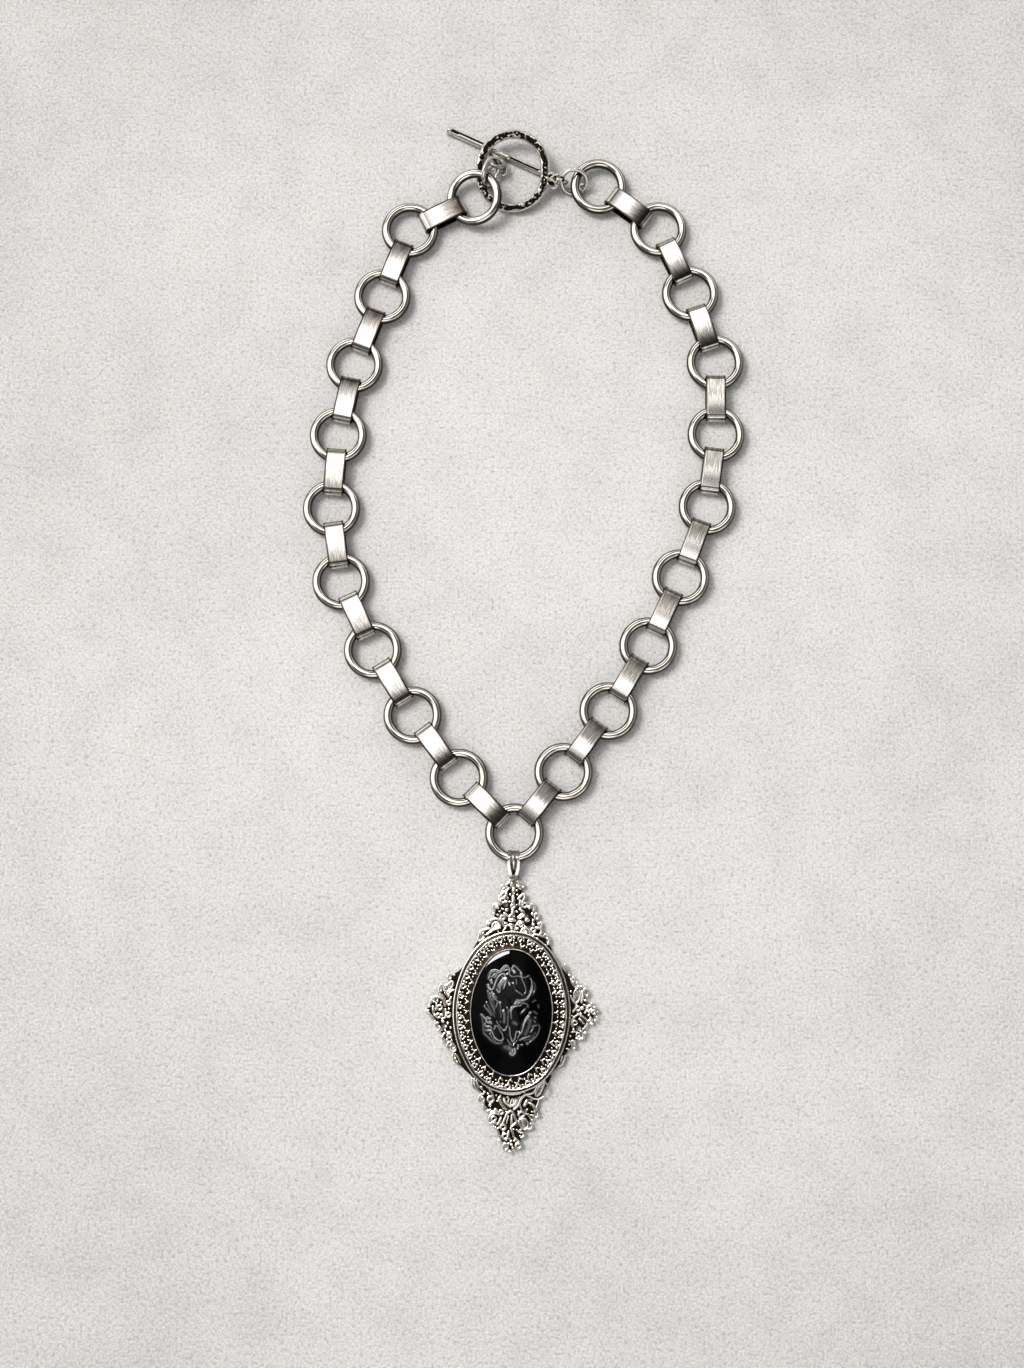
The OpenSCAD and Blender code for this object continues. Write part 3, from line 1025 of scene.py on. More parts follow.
@dataclass
class Chain:
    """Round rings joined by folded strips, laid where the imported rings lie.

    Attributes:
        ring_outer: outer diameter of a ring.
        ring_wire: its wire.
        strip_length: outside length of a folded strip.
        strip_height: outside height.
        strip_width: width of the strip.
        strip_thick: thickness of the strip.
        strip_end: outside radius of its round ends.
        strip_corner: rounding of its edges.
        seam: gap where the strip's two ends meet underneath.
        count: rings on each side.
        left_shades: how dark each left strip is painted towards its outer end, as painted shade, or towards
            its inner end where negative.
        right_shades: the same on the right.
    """

    ring_outer: float = 14.0
    ring_wire: float = 2.2
    strip_length: float = 11.7
    strip_height: float = 3.8
    strip_width: float = 4.8
    strip_thick: float = 0.5
    strip_end: float = 1.7
    strip_corner: float = 0.12
    seam: float = 0.12
    count: int = 10
    left_shades: tuple[float, ...] = (-0.9, -0.9, -0.9, -0.9, -0.8, -0.6, 1.2, 1.35, 1.35, 1.45)
    right_shades: tuple[float, ...] = (1, 1, 1, 0.9, 0.9, 0.6, 0.4, -0.9, -1.2, -1.2)

    def headings(self, kind: str) -> dict[str, float]:
        """Directions of the rings or strips, going out from the centre ring on each side.

        Args:
            kind: first word of their nodes' names.

        Returns:
            Node names, and each one's direction from ring to ring in radians.
        """
        found = {}
        for side in Side:
            rings = ["ring_centre", *(f"ring_{side.value}_{k}" for k in range(1, self.count + 1))]
            for k, (inner, outer) in enumerate(zip(rings, rings[1:]), start=1):
                x, y, _ = node_middle(outer) - node_middle(inner)
                found[f"{kind}_{side.value}_{k}"] = math.atan2(y, x)
        return found

    def tilt(self, node: str) -> float:
        """How far a ring is tipped up, in radians, from the height of its box.

        Args:
            node: name of the ring.

        Returns:
            The angle from lying flat.
        """
        low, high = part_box(node)
        height = (high[2] - low[2]) / MM
        return math.asin(max(0.0, (height - self.ring_wire) / (self.ring_outer - self.ring_wire)))

    def layout(self, turns: dict[str, Point], end_shades: Array | None = None) -> Layout:
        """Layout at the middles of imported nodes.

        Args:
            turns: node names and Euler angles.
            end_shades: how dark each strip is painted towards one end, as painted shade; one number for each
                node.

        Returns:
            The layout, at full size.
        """
        points = np.array([node_middle(name) for name in turns])
        return Layout(points, np.array(list(turns.values())), np.ones(points.shape), end_shades)

    def rings(self, metal: Finish) -> Piece:
        """All rings as one mesh.

        Args:
            metal: their material.

        Returns:
            The finished piece.
        """
        turns = {"ring_centre": (0.0, 0.0, 0.0)}
        for name, heading in self.headings("ring").items():
            turns[name] = (0.0, -self.tilt(name), heading)
        made = self.layout(turns).grow("chain_rings", ring_tree("ring_chain"), {
            "Ring Diameter": self.ring_outer * MM, "Wire Diameter": self.ring_wire * MM,
            "Ring Steps": 96, "Wire Steps": 32, "Metal": metal,
        })
        made.data.shade_smooth()
        return dress(made, metal, Slot.RINGS, list(turns))

    def strips(self, metal: Finish) -> Piece:
        """All folded strips as one mesh.

        Args:
            metal: their material.

        Returns:
            The finished piece.
        """
        turns = {name: (0.0, 0.0, heading) for name, heading in self.headings("connector").items()}
        layout = self.layout(turns, np.array(self.left_shades + self.right_shades))
        return dress(layout.copies("chain_strips", self.strip(), metal), metal, Slot.STRIPS, list(turns))

    def strip_line(self) -> Array:
        """Middle line of the folded strip in side view, open at the seam underneath.

        Returns:
            Rows of x and height above the strip's middle.
        """
        inset = self.strip_thick / 2
        reach = self.strip_length / 2 - self.strip_end
        rise = self.strip_height / 2 - self.strip_end
        depth = (reach**2 - rise**2) / (2 * rise)
        arch = self.strip_height / 2 + depth - inset
        lean = math.atan2(reach, depth)
        top = math.pi / 2 + np.linspace(-lean, lean, 34)
        end = np.linspace(math.pi / 2 + lean, math.pi * 1.5 - lean, 42)[1:-1]
        radius = self.strip_end - inset
        half = np.vstack([
            np.stack([arch * np.cos(top), arch * np.sin(top) - depth], 1),
            np.stack([radius * np.cos(end) - reach, radius * np.sin(end)], 1),
        ])
        loop = np.vstack([half, -half])
        beside = np.abs(loop[:, 0]) + self.strip_length * (loop[:, 1] > 0)
        start = int(np.argmin(beside))
        loop = np.roll(loop, -start, 0)[np.roll(beside, -start) > self.seam / 2]
        edge = np.array([math.copysign(self.seam / 2, loop[0, 0]), loop[:, 1].min()])
        return np.vstack([edge, loop, edge * [-1, 1]])

    def section(self) -> Array:
        """The strip's section: rows of place across the strip and place through it, with round edges.

        Returns:
            Rows of two numbers, once round from the strip's outer face.
        """
        w, t, c = self.strip_width / 2, self.strip_thick / 2, self.strip_corner
        corners = [
            circle_points(c, 4, start, 90)[:, :2] + [right * (w - c), top * (t - c)]
            for right, top, start in ((1, 1, 0), (-1, 1, 90), (-1, -1, 180), (1, -1, 270))
        ]
        return np.vstack([corners[0], [(0.8 * w, t), (-0.8 * w, t)], *corners[1:]])

    def strip(self) -> Piece:
        """One folded strip with a map in millimetres, painted dark on its inside, edges and folds as painted
        shade.

        Returns:
            The strip, along X.
        """
        line, section = self.strip_line(), self.section()
        along = unit(np.gradient(line, axis=0))
        out = np.stack([along[:, 1], -along[:, 0]], 1)
        loops = np.zeros((len(line), len(section), 3))
        loops[..., ::2] = line[:, None, :] + out[:, None, :] * section[:, 1:]
        loops[..., 1] = section[:, 0]
        w, t, c = self.strip_width / 2, self.strip_thick / 2, self.strip_corner
        # The inner face, the long edges and the folds are painted dark, as painted shade.
        inside = 0.75 * smoothstep(0.3 * t, -0.3 * t, section[:, 1])
        edges = 1.2 * smoothstep(w - 2.2 * c, w - 0.4 * c, np.abs(section[:, 0]))
        reach = np.abs(line[:, 0]) - self.strip_length / 2
        folds = np.maximum.reduce([
            0.1 * smoothstep(-1.0, -0.85, reach),
            0.6 * smoothstep(-0.22, -0.06, reach),
            0.75 * smoothstep(0.12, 0.04, np.abs(reach + 1.05)),
        ])
        work = Work()
        work.loft(loops, False, np.maximum(np.maximum(inside, edges), folds[:, None]))
        made = work.build("strip_template", 50)
        run = travelled(line)
        u = np.append(np.repeat(run, len(section)), [run[0], run[-1]])
        v = np.append(np.tile(section[:, 0], len(line)), [0, 0])
        corners = np.zeros(len(made.data.loops), np.int32)
        made.data.loops.foreach_get("vertex_index", corners)
        chart = made.data.uv_layers.new(name="UVMap")
        chart.data.foreach_set("uv", np.stack([u, v], 1)[corners].astype(np.float32).reshape(-1))
        share = 2 * line[:, 0] / self.strip_length * smoothstep(-0.8, -1.05, reach)
        carry(made.data, "along", np.append(np.repeat(share, len(section)), [0, 0]))
        return made


@dataclass
class Clasp:
    """Ring and bar clasp with its jump rings, at the far end.

    Attributes:
        ring_width: outside width of the toggle ring.
        ring_length: its outside height.
        ring_wire: its wire.
        ring_place: its centre from the centre ring.
        ring_tilt: how far it leans on the bar, in degrees.
        ring_steps: points round it.
        ornament_heading: direction of its cast ornament, in degrees.
        bar_heading: direction of the bar, in degrees.
        bar_place: the bar's middle from the centre ring.
        bar_length: from end to end.
        bar_wire: its diameter.
        bar_cap: diameter of its ends.
        eye_rise: how far the bar's eye is turned up, in degrees.
        jump_wire: wire of both jump rings.
        left_outer: outer diameter of the left jump ring.
        left_place: its middle from the bar's.
        left_lean: how far it leans from upright, in degrees.
        left_heading: its direction from the bar's, in degrees.
        right_outer: outer diameter of the right jump ring.
        right_place: its middle from the centre ring.
        right_tilt: how far it stands up, in degrees.
    """

    ring_width: float = 18.4
    ring_length: float = 20.4
    ring_wire: float = 2.3
    ring_place: Point = (-0.4, 164, 2.82)
    ring_tilt: float = 10.5
    ring_steps: int = 260
    ornament_heading: float = -12.8
    bar_heading: float = -25.5
    bar_place: Point = (-4.4, 169.6, 0.95)
    bar_length: float = 27.0
    bar_wire: float = 1.75
    bar_cap: float = 1.9
    eye_rise: float = 35.0
    jump_wire: float = 0.95
    left_outer: float = 7.85
    left_place: Point = (1.5, -6.6, 3.71)
    left_lean: float = 21.5
    left_heading: float = 1.6
    right_outer: float = 7.2
    right_place: Point = (14.8, 161.2, 2.8)
    right_tilt: float = 42.5

    def origin(self) -> Array:
        """Centre of the centre ring, on the surface."""
        return node_middle("ring_centre") * FLAT

    def on_ring(self, points: Array) -> Array:
        """From the toggle ring's own frame to the part's."""
        leant = turn_z(turn_x(turn_z(points, -self.bar_heading), self.ring_tilt), self.bar_heading)
        return leant + self.ring_place + self.origin()

    def on_bar(self, points: Array) -> Array:
        """From the bar's own frame to the part's."""
        return turn_z(points, self.bar_heading) + self.bar_place + self.origin()

    def ring(self, metal: Finish) -> Piece:
        """The toggle ring with its chased face and cast ornament.

        Args:
            metal: its material.

        Returns:
            The finished piece.
        """
        angle, side = full_turn(self.ring_steps), full_turn(40)
        out = circle_points(1, self.ring_steps)
        path = out * (self.ring_width - self.ring_wire) / 2
        path[:, 1] += (self.ring_length - self.ring_width) / 2 * np.tanh(9 * np.sin(angle))
        sway = 0.2 * np.sin(angle) + 0.07 * np.sin(travelled(path) * 2.3 + 1)
        lane = np.abs(np.cos(side) + sway[:, None])
        face = smoothstep(0.66, 0.54, lane) * (np.sin(side) > 0)
        # The lower half of the wire is painted darker, as painted shade.
        under = smoothstep(0.1, -0.5, np.sin(side))
        work = Work()
        loops = around(path, self.ring_wire / 2 - 0.1 * face, out, UP, side)
        work.loft(loops, True, np.maximum(0.8 * face, 0.6 * under))
        self.ornament(work)
        return dress(work.moved(self.on_ring).build("toggle_ring_cast"), metal, Slot.CLASP, ["toggle_ring"])

    def ornament(self, work: Work) -> None:
        """Beads, curls and an upright eye on the ring's right.

        Args:
            work: shells are added to it, in the ring's frame.
        """
        placed = partial(turn_z, degrees=self.ornament_heading)
        curls = [
            (0.3105, [(8.6, 0.5, 0.3), (9.2, 1.1, 0.5), (10.0, 1.3, 0.5), (10.3, 0.7, 0.5), (9.8, 0.2, 0.6)]),
            (0.345, [(10.3, 0.9, 0.4), (11.2, 1.2, 0.4), (11.9, 0.5, 0.3), (12.0, -0.5, 0.2), 
                     (11.6, -1.3, 0.3), (11.0, -1.0, 0.5), (11.3, -0.4, 0.6)]),
            (0.345, [(8.7, -0.7, 0.3), (9.3, -1.5, 0.4), (10.2, -2.1, 0.3), (11.1, -2.1, 0.2),
                     (11.6, -1.5, 0.2)]),
            (0.414, [(8.6, -0.1, 0.7), (9.4, -0.4, 0.8), (10.3, -0.4, 0.8), (10.9, -0.7, 0.6)]),
        ]
        for radius, points in curls:
            work.wire(placed(eased(points)), radius, sides=10)
        beads = [
            (0.36, (9.5, 0.7, 0.3)), (0.45, (10.6, -1.2, 0.4)),
            (0.495, (9.9, -1.2, 0.1)), (0.45, (10.9, 0.2, 0.2)),
        ]
        for radius, middle in beads:
            work.bead(placed(np.array(middle)), radius, 0.05, patina=0.75)
        core = np.array([(8.4, 0, -0.2), (9.4, 0, -0.2), (10.8, 0, -0.2), (11.6, 0, -0.3)])
        work.wire(placed(core), [0.8, 0.95, 0.95, 0.6], sides=16, patina=0.9)
        eye = circle_points(1.5, 40)[:, [0, 2, 1]] + [12.2, 0, -0.45]
        work.wire(placed(eye), 0.45, up=placed(np.array([0.0, 1.0, 0.0])), sides=14, ring=True, patina=0.35)

    def rod(self) -> tuple[Array, Array]:
        """The bar itself, with lines and specks chased in its left end and a groove in its right.

        Returns:
            Its loops, and the patina of their points.
        """
        x = np.linspace(-self.bar_length / 2, self.bar_length / 2, 160)
        side = full_turn(28)
        cap = smoothstep(self.bar_length / 2 - 1.0, self.bar_length / 2 - 0.4, np.abs(x))[:, None]
        y, along = np.cos(side), x[:, None]
        end = smoothstep(-12.7, -12.4, along) * smoothstep(-3.4, -4.2, along)
        line = smoothstep(-0.1, 0.15, y) * smoothstep(0.97, 0.85, y)
        specks = smoothstep(-9.8, -10.3, along) * smoothstep(-0.5, -0.3, y)
        specks = (hashed(np.floor(along / 0.7), 3) > 0.35) * specks
        groove = smoothstep(-0.6, 0.2, along) * smoothstep(12.0, 11.4, along)
        groove = groove * smoothstep(0.42, 0.26, np.abs(y - 0.05))
        sunk = (np.sin(side) > 0) * np.clip(end * np.maximum(line, specks) + groove, 0, 1)
        radius = self.bar_wire / 2 + cap * (self.bar_cap - self.bar_wire) / 2 - 0.12 * sunk
        across = np.array([0.0, 1.0, 0.0])
        # The lower half of the bar is painted darker, as painted shade.
        return (
            around(np.outer(x, (1, 0, 0)), radius, across, UP, side),
            np.maximum(sunk, 0.6 * smoothstep(0.1, -0.5, np.sin(side))),
        )

    def bar(self, metal: Finish) -> Piece:
        """The toggle bar with its chased end, eye and scroll.

        Args:
            metal: its material.

        Returns:
            The finished piece.
        """
        work = Work()
        loops, dark = self.rod()
        work.loft(loops, False, dark)
        sleeve = np.outer((0.3, 0.6, 3.0, 3.3), (1, 0, 0))
        work.wire(sleeve, self.bar_cap / 2, sides=24, patina=0.25)
        risen = partial(turn_x, degrees=-self.eye_rise)
        neck = risen(np.array([(1.8, -0.3, 0), (1.8, -1.2, 0), (1.8, -2.3, 0)]))
        work.wire(neck, [0.62, 0.5, 0.55], sides=14, patina=0.5)
        eye = risen(circle_points(1.6, 44) + [1.8, -3.9, 0])
        work.wire(eye, 0.5, up=risen(UP), sides=14, ring=True, patina=0.42)
        blade_radius = [0.3] + [0.45] * 30 + [0.3] * 6
        for radius, patina, sides, steps, points in (
            (0.27, 0.2, 10, 6, [
                (-1.7, -0.9, 0.6), (-0.2, -1.2, 1.0), (1.6, -1.55, 1.1), (3.0, -2.1, 1.0), (4.1, -3.0, 0.8),
                (4.6, -4.0, 0.7), (4.1, -4.9, 0.6), (3.1, -5.0, 0.5), (2.5, -4.4, 0.5), (2.8, -3.7, 0.6),
                (3.4, -3.9, 0.7),
            ]),
            (blade_radius, 0.62, 12, 6, [
                (-1.6, -1.1, 0.3), (0.0, -1.6, 0.6), (1.6, -2.0, 0.7), (2.9, -2.6, 0.6), (3.7, -3.4, 0.5),
                (4.0, -4.1, 0.4), (3.5, -4.5, 0.3),
            ]),
            (0.25, 0.2, 10, 6, [(-1.4, -1.6, 0.6), (0.0, -2.1, 0.9), (1.6, -2.6, 1.0), (2.7, -3.1, 0.9)]),
            (0.22, 0.3, 10, 5, [
                (0.1, -5.2, 1.2), (0.5, -4.5, 1.5), (1.1, -4.2, 1.6), (1.6, -4.6, 1.5), (1.3, -5.2, 1.3),
            ]),
        ):
            work.wire(eased(points, steps), radius, sides=sides, patina=patina)
        made = work.moved(self.on_bar).build("toggle_bar_cast", side_shade=0.6)
        return dress(made, metal, Slot.CLASP, ["toggle_bar"])

    def left_link(self, metal: Finish) -> Piece:
        """Jump ring between the bar's eye and the chain, with its cut.

        Args:
            metal: its material.

        Returns:
            The finished piece.
        """
        line = circle_points((self.left_outer - self.jump_wire) / 2, 72, 95, 356)
        line, up = (turn_z(turn_y(p, 90 - self.left_lean), self.left_heading) for p in (line, UP))
        work = Work()
        work.wire(
            self.on_bar(line + self.left_place), self.jump_wire / 2, up=turn_z(up, self.bar_heading),
            sides=16, patina=0.1,
        )
        return dress(work.build("left_jump_ring", side_shade=0.8), metal, Slot.CLASP, ["jump_ring_left"])

    def right_link(self, metal: Finish) -> Piece:
        """Curled jump ring between the ornament's eye and the chain.

        Args:
            metal: its material.

        Returns:
            The finished piece.
        """
        work = Work()
        line = circle_points((self.right_outer - self.jump_wire) / 2, 72, 160, -345)
        work.wire(line, self.jump_wire / 2, sides=16)
        curl = [(3.1, -0.6), (2.9, -1.7), (1.9, -2.2), (1.3, -1.5), (1.6, -0.7), (2.2, -0.6)]
        work.wire(raised(eased(curl, 6), 0), 0.38, sides=12, patina=0.1)
        work.bead(line[0], 0.62, 0.05, sides=14, patina=0.75)
        place = self.origin() + self.right_place
        work.moved(lambda points: turn_x(points, self.right_tilt) + place)
        return dress(work.build("right_jump_ring", side_shade=0.8), metal, Slot.CLASP, ["jump_ring_right"])


@dataclass
class Pendant:
    """Frame of the pendant, shared by its parts.

    Attributes:
        turn: of the pendant on the surface, in degrees.
        outline: the stone's oval.
    """

    turn: float = -0.8
    outline: Oval = field(default_factory=Oval)

    def place(self, points: Array) -> Array:
        """From the stone's middle on the surface to the part's frame."""
        return turn_z(points, self.turn) + node_middle("cameo_stone") * FLAT


@dataclass
class Bail(Pendant):
    """Tapered strip folded over the centre ring, pressed into three ridges.

    Attributes:
        drop: from its loop to the stone's middle.
        length: from its loop to its end.
        bore: inside radius of its loop.
        thick: of the strip.
        ring_height: height of the wire that it hangs on.
        top_width: width at the loop.
        waist: widest place, below the loop.
        end_width: width at the plate.
        ridge: height of its ridges.
    """

    drop: float = 36.1
    length: float = 5.3
    bore: float = 1.35
    thick: float = 0.4
    ring_height: float = 1.85
    top_width: float = 2.6
    waist: float = 2.9
    end_width: float = 1.5
    ridge: float = 0.3

    def side_line(self) -> Array:
        """Middle line of the folded strip in side view: rows of y from its loop, and height.

        Returns:
            Rows of two numbers, from the upper end over the loop to the lower one.
        """
        over = circle_points(self.bore + self.thick / 2, 30, 100, -172)[:, :2] + [0, self.ring_height]
        upper = [(-self.length, 1.4), (-4.2, 1.78), (-3.0, 2.3), (-1.8, 2.85), (-0.9, 3.22)]
        lower = [(-0.6, 0.32), (-2.0, 0.3), (-3.6, 0.3), (-self.length, 0.3)]
        return np.vstack([eased(upper, 4), over, eased(lower, 4)])

    def build(self, metal: Finish) -> Piece:
        """Makes the bail.

        Args:
            metal: its material.

        Returns:
            The finished piece.
        """
        line = self.side_line()
        along = unit(np.gradient(line, axis=0))
        out = np.stack([-along[:, 1], along[:, 0]], 1)
        y, height = line[:, :1], line[:, 1:]
        share = np.linspace(-1, 1, 33)
        taper = np.clip(-y / self.length, 0, 1)
        widths = (self.top_width, self.waist, self.waist, self.end_width)
        depth = smoothstep(0.9, -0.4, y) * (height > self.ring_height)
        near = np.abs(np.abs(share) - np.interp(taper, (0, 0.2, 0.9), (0.32, 0.38, 0.0)))
        lift = self.thick / 2 + self.ridge * (np.clip(near / 0.24, 0, 1) ** 0.7 - 0.7) * depth
        groove = (0.5 + 0.42 * taper) * depth * smoothstep(0.26 + 0.1 * taper, 0.12, near)
        ends = np.maximum(0.62 * smoothstep(-0.1, 0.3, y), 0.56 * smoothstep(0.64, 0.88, taper))
        x = np.append(share, share[::-1]) * np.interp(taper, (0, 0.2, 0.45, 1), widths) / 2
        rise = np.hstack([lift, np.full(lift.shape, -self.thick / 2)])
        sides = line[:, None, :] + out[:, None, :] * rise[..., None] + [self.drop, 0]
        work = Work()
        work.loft(
            np.concatenate([x[..., None], sides], 2), False,
            np.hstack([np.maximum(groove, ends), np.full(lift.shape, 0.5)]),
        )
        return dress(work.moved(self.place).build("bail_folded", 35, 0.85), metal, Slot.SETTING, ["bail"])


@dataclass
class Openwork(Pendant):
    """Cast openwork on the pierced plate: wires, eyelets, leaves and beads.

    Attributes:
        floor: height of the plate's face.
        rise: height of the wires' middles above the surface.
        pierce_radius: of the pierced holes.
        pierce_step: between the rows of holes.
        pierce_edge: metal left between a hole and the plate's edge, at least.
        pierce_near: nearest that a hole comes to the stone, which hides the setting's underside.
        tip: radius of an arm's tip.
        arms: heading, reach, start, and half widths at the start and tip of each arm's rows of holes.
    """

    floor: float = 0.8
    rise: float = 1.05
    pierce_radius: float = 0.6
    pierce_step: float = 3.0
    pierce_edge: float = 0.35
    pierce_near: float = 3.9
    tip: float = 1.25
    arms: tuple[Arm, ...] = (
        (-90, 33.1, 15.5, 8.4, 0.9), (90, 30.7, 15, 7.8, 1.5),
        (0, 20.7, 11.5, 10.8, 0.9), (180, 20.7, 11.5, 10.8, 0.9),
    )

    def bottom(self) -> list[Stroke]:
        """Ornament of the lower arm: kind, wire radius and points from the stone's middle."""
        w, o, e, f = Motif
        return [
            (w, 0.34, [(-2.3, -19.4), (-2.7, -20.1), (-2.2, -21.0), (-1.6, -21.9), (-1.0, -22.4)]),
            (w, 0.32, [(8.0, -15.9), (6.4, -16.8), (5.8, -18.0), (5.0, -18.7), (3.4, -19.1), (2.5, -20.0),
                       (2.1, -21.0), (1.6, -21.8), (0.9, -22.4)]),
            (w, 0.40, [(-1.4, -20.1), (-1.1, -21.0), (0.0, -21.6), (1.1, -21.2), (1.5, -20.2)]),
            (w, 0.24, [(0.0, -21.2), (0.5, -20.0)]),
            (w, 0.22, [(-0.6, -20.9), (-0.3, -20.0)]),
            (w, 0.22, [(0.7, -21.0), (1.0, -20.0)]),
            (w, 0.25, [(-4.2, -17.6), (-3.0, -18.3), (-1.5, -18.8), (0.3, -19.0), (2.0, -18.8),
                       (2.9, -18.4), (3.4, -18.6)]),
            (f, 0.22, [(6.0, -19.2), (6.3, -17.6), (7.9, -16.0), (7.6, -17.4), (6.7, -19.0)]),
            (w, 0.22, [(8.0, -16.0), (8.7, -16.9), (8.9, -18.0), (8.4, -18.9)]),
            (w, 0.24, [(7.6, -19.6), (6.5, -20.0), (5.4, -19.9), (4.6, -19.5), (3.8, -19.2)]),
            (w, 0.24, [(6.7, -20.1), (6.4, -21.2), (6.1, -22.2), (6.5, -23.0), (6.5, -23.8), (6.0, -24.2),
                       (5.5, -23.8), (4.9, -23.7)]),
            (w, 0.32, [(4.7, -21.0), (5.4, -21.5), (5.8, -22.3), (5.7, -22.9)]),
            (w, 0.42, [(3.9, -20.3), (3.3, -21.5)]),
            (w, 0.24, [(2.1, -21.3), (2.6, -22.2), (2.6, -23.0)]),
            (o, 0.28, [(2.65, -22.9), (3.35, -23.6), (2.65, -24.3), (1.95, -23.6)]),
            (f, 0.26, [(2.5, -24.5), (2.1, -25.3), (2.6, -26.3), (3.3, -27.0), (4.1, -26.6), (4.2, -25.7),
                       (3.5, -24.6)]),
            (w, 0.18, [(2.8, -24.8), (3.4, -26.6)]),
            (w, 0.18, [(3.2, -24.8), (3.8, -26.2)]),
            (w, 0.26, [(3.3, -23.3), (4.2, -23.6), (4.7, -24.3)]),
            (w, 0.24, [(4.8, -25.6), (5.1, -26.2), (4.9, -26.8), (4.2, -26.9)]),
            (w, 0.28, [(0.0, -22.8), (-0.7, -23.4), (-1.2, -24.5), (-1.7, -25.6), (-1.9, -26.0)]),
            (w, 0.28, [(0.0, -22.8), (0.7, -23.2), (1.1, -24.2), (1.5, -25.2), (1.0, -25.9), (0.3, -26.4)]),
            (w, 0.32, [(0.4, -23.8), (0.4, -25.8)]),
            (w, 0.18, [(-0.4, -24.0), (-0.8, -25.6)]),
            (e, 0.28, [(-1.6, -26.5), (0.58, 0)]),
            (w, 0.26, [(-4.7, -25.6), (-4.9, -24.4), (-4.3, -23.6), (-3.4, -23.4), (-2.6, -23.7)]),
            (e, 0.22, [(-3.8, -24.6), (0.52, 0)]),
            (w, 0.28, [(-4.6, -25.7), (-3.6, -25.4), (-2.9, -25.9), (-2.4, -25.0), (-2.2, -24.4)]),
            (e, 0.24, [(-2.1, -23.1), (0.45, 0)]),
            (e, 0.28, [(-4.6, -20.2), (0.68, 0)]),
            (w, 0.24, [(-6.2, -19.0), (-7.1, -19.3), (-7.4, -20.1), (-6.9, -20.8), (-6.1, -20.9)]),
            (w, 0.32, [(-6.6, -19.7), (-6.1, -20.4)]),
            (w, 0.24, [(-6.3, -21.4), (-6.2, -22.5), (-5.4, -22.9), (-4.5, -22.5)]),
            (w, 0.24, [(-8.5, -15.5), (-8.3, -17.2), (-7.3, -18.4), (-6.6, -18.8)]),
            (w, 0.22, [(-9.0, -15.3), (-8.9, -16.8), (-8.4, -17.9)]),
            (w, 0.24, [(-8.0, -15.9), (-7.4, -17.2), (-6.6, -17.9)]),
            (w, 0.24, [(-5.6, -17.2), (-4.9, -17.9), (-4.3, -18.8), (-4.0, -19.5)]),
            (w, 0.26, [(0.2, -26.8), (0.7, -27.8), (0.9, -28.6)]),
            (w, 0.30, [(-0.3, -27.5), (-0.4, -28.6), (-0.1, -29.2)]),
            (e, 0.28, [(2.05, -30.7), (0.62, 0)]),
            (w, 0.26, [(1.2, -29.0), (1.9, -29.6), (2.4, -30.0)]),
            (e, 0.28, [(-1.1, -28.6), (0.6, 0)]),
            (w, 0.24, [(-3.3, -26.6), (-2.8, -27.5), (-2.5, -28.4), (-2.2, -29.2), (-2.8, -29.6)]),
            (w, 0.26, [(1.6, -27.1), (2.2, -27.6), (3.1, -27.8), (3.4, -28.4), (2.7, -28.9)]),
            (o, 0.24, [(-1.2, -30.2), (-1.5, -31.0), (-1.0, -31.8), (-0.4, -31.1), (-0.6, -30.4)]),
            (w, 0.28, [(0.7, -31.1), (1.0, -31.7)]),
            (w, 0.24, [(-2.9, -23.0), (-3.9, -22.9), (-4.6, -23.3)]),
            (w, 0.22, [(-3.8, -26.3), (-3.2, -26.9), (-2.5, -26.6)]),
        ]

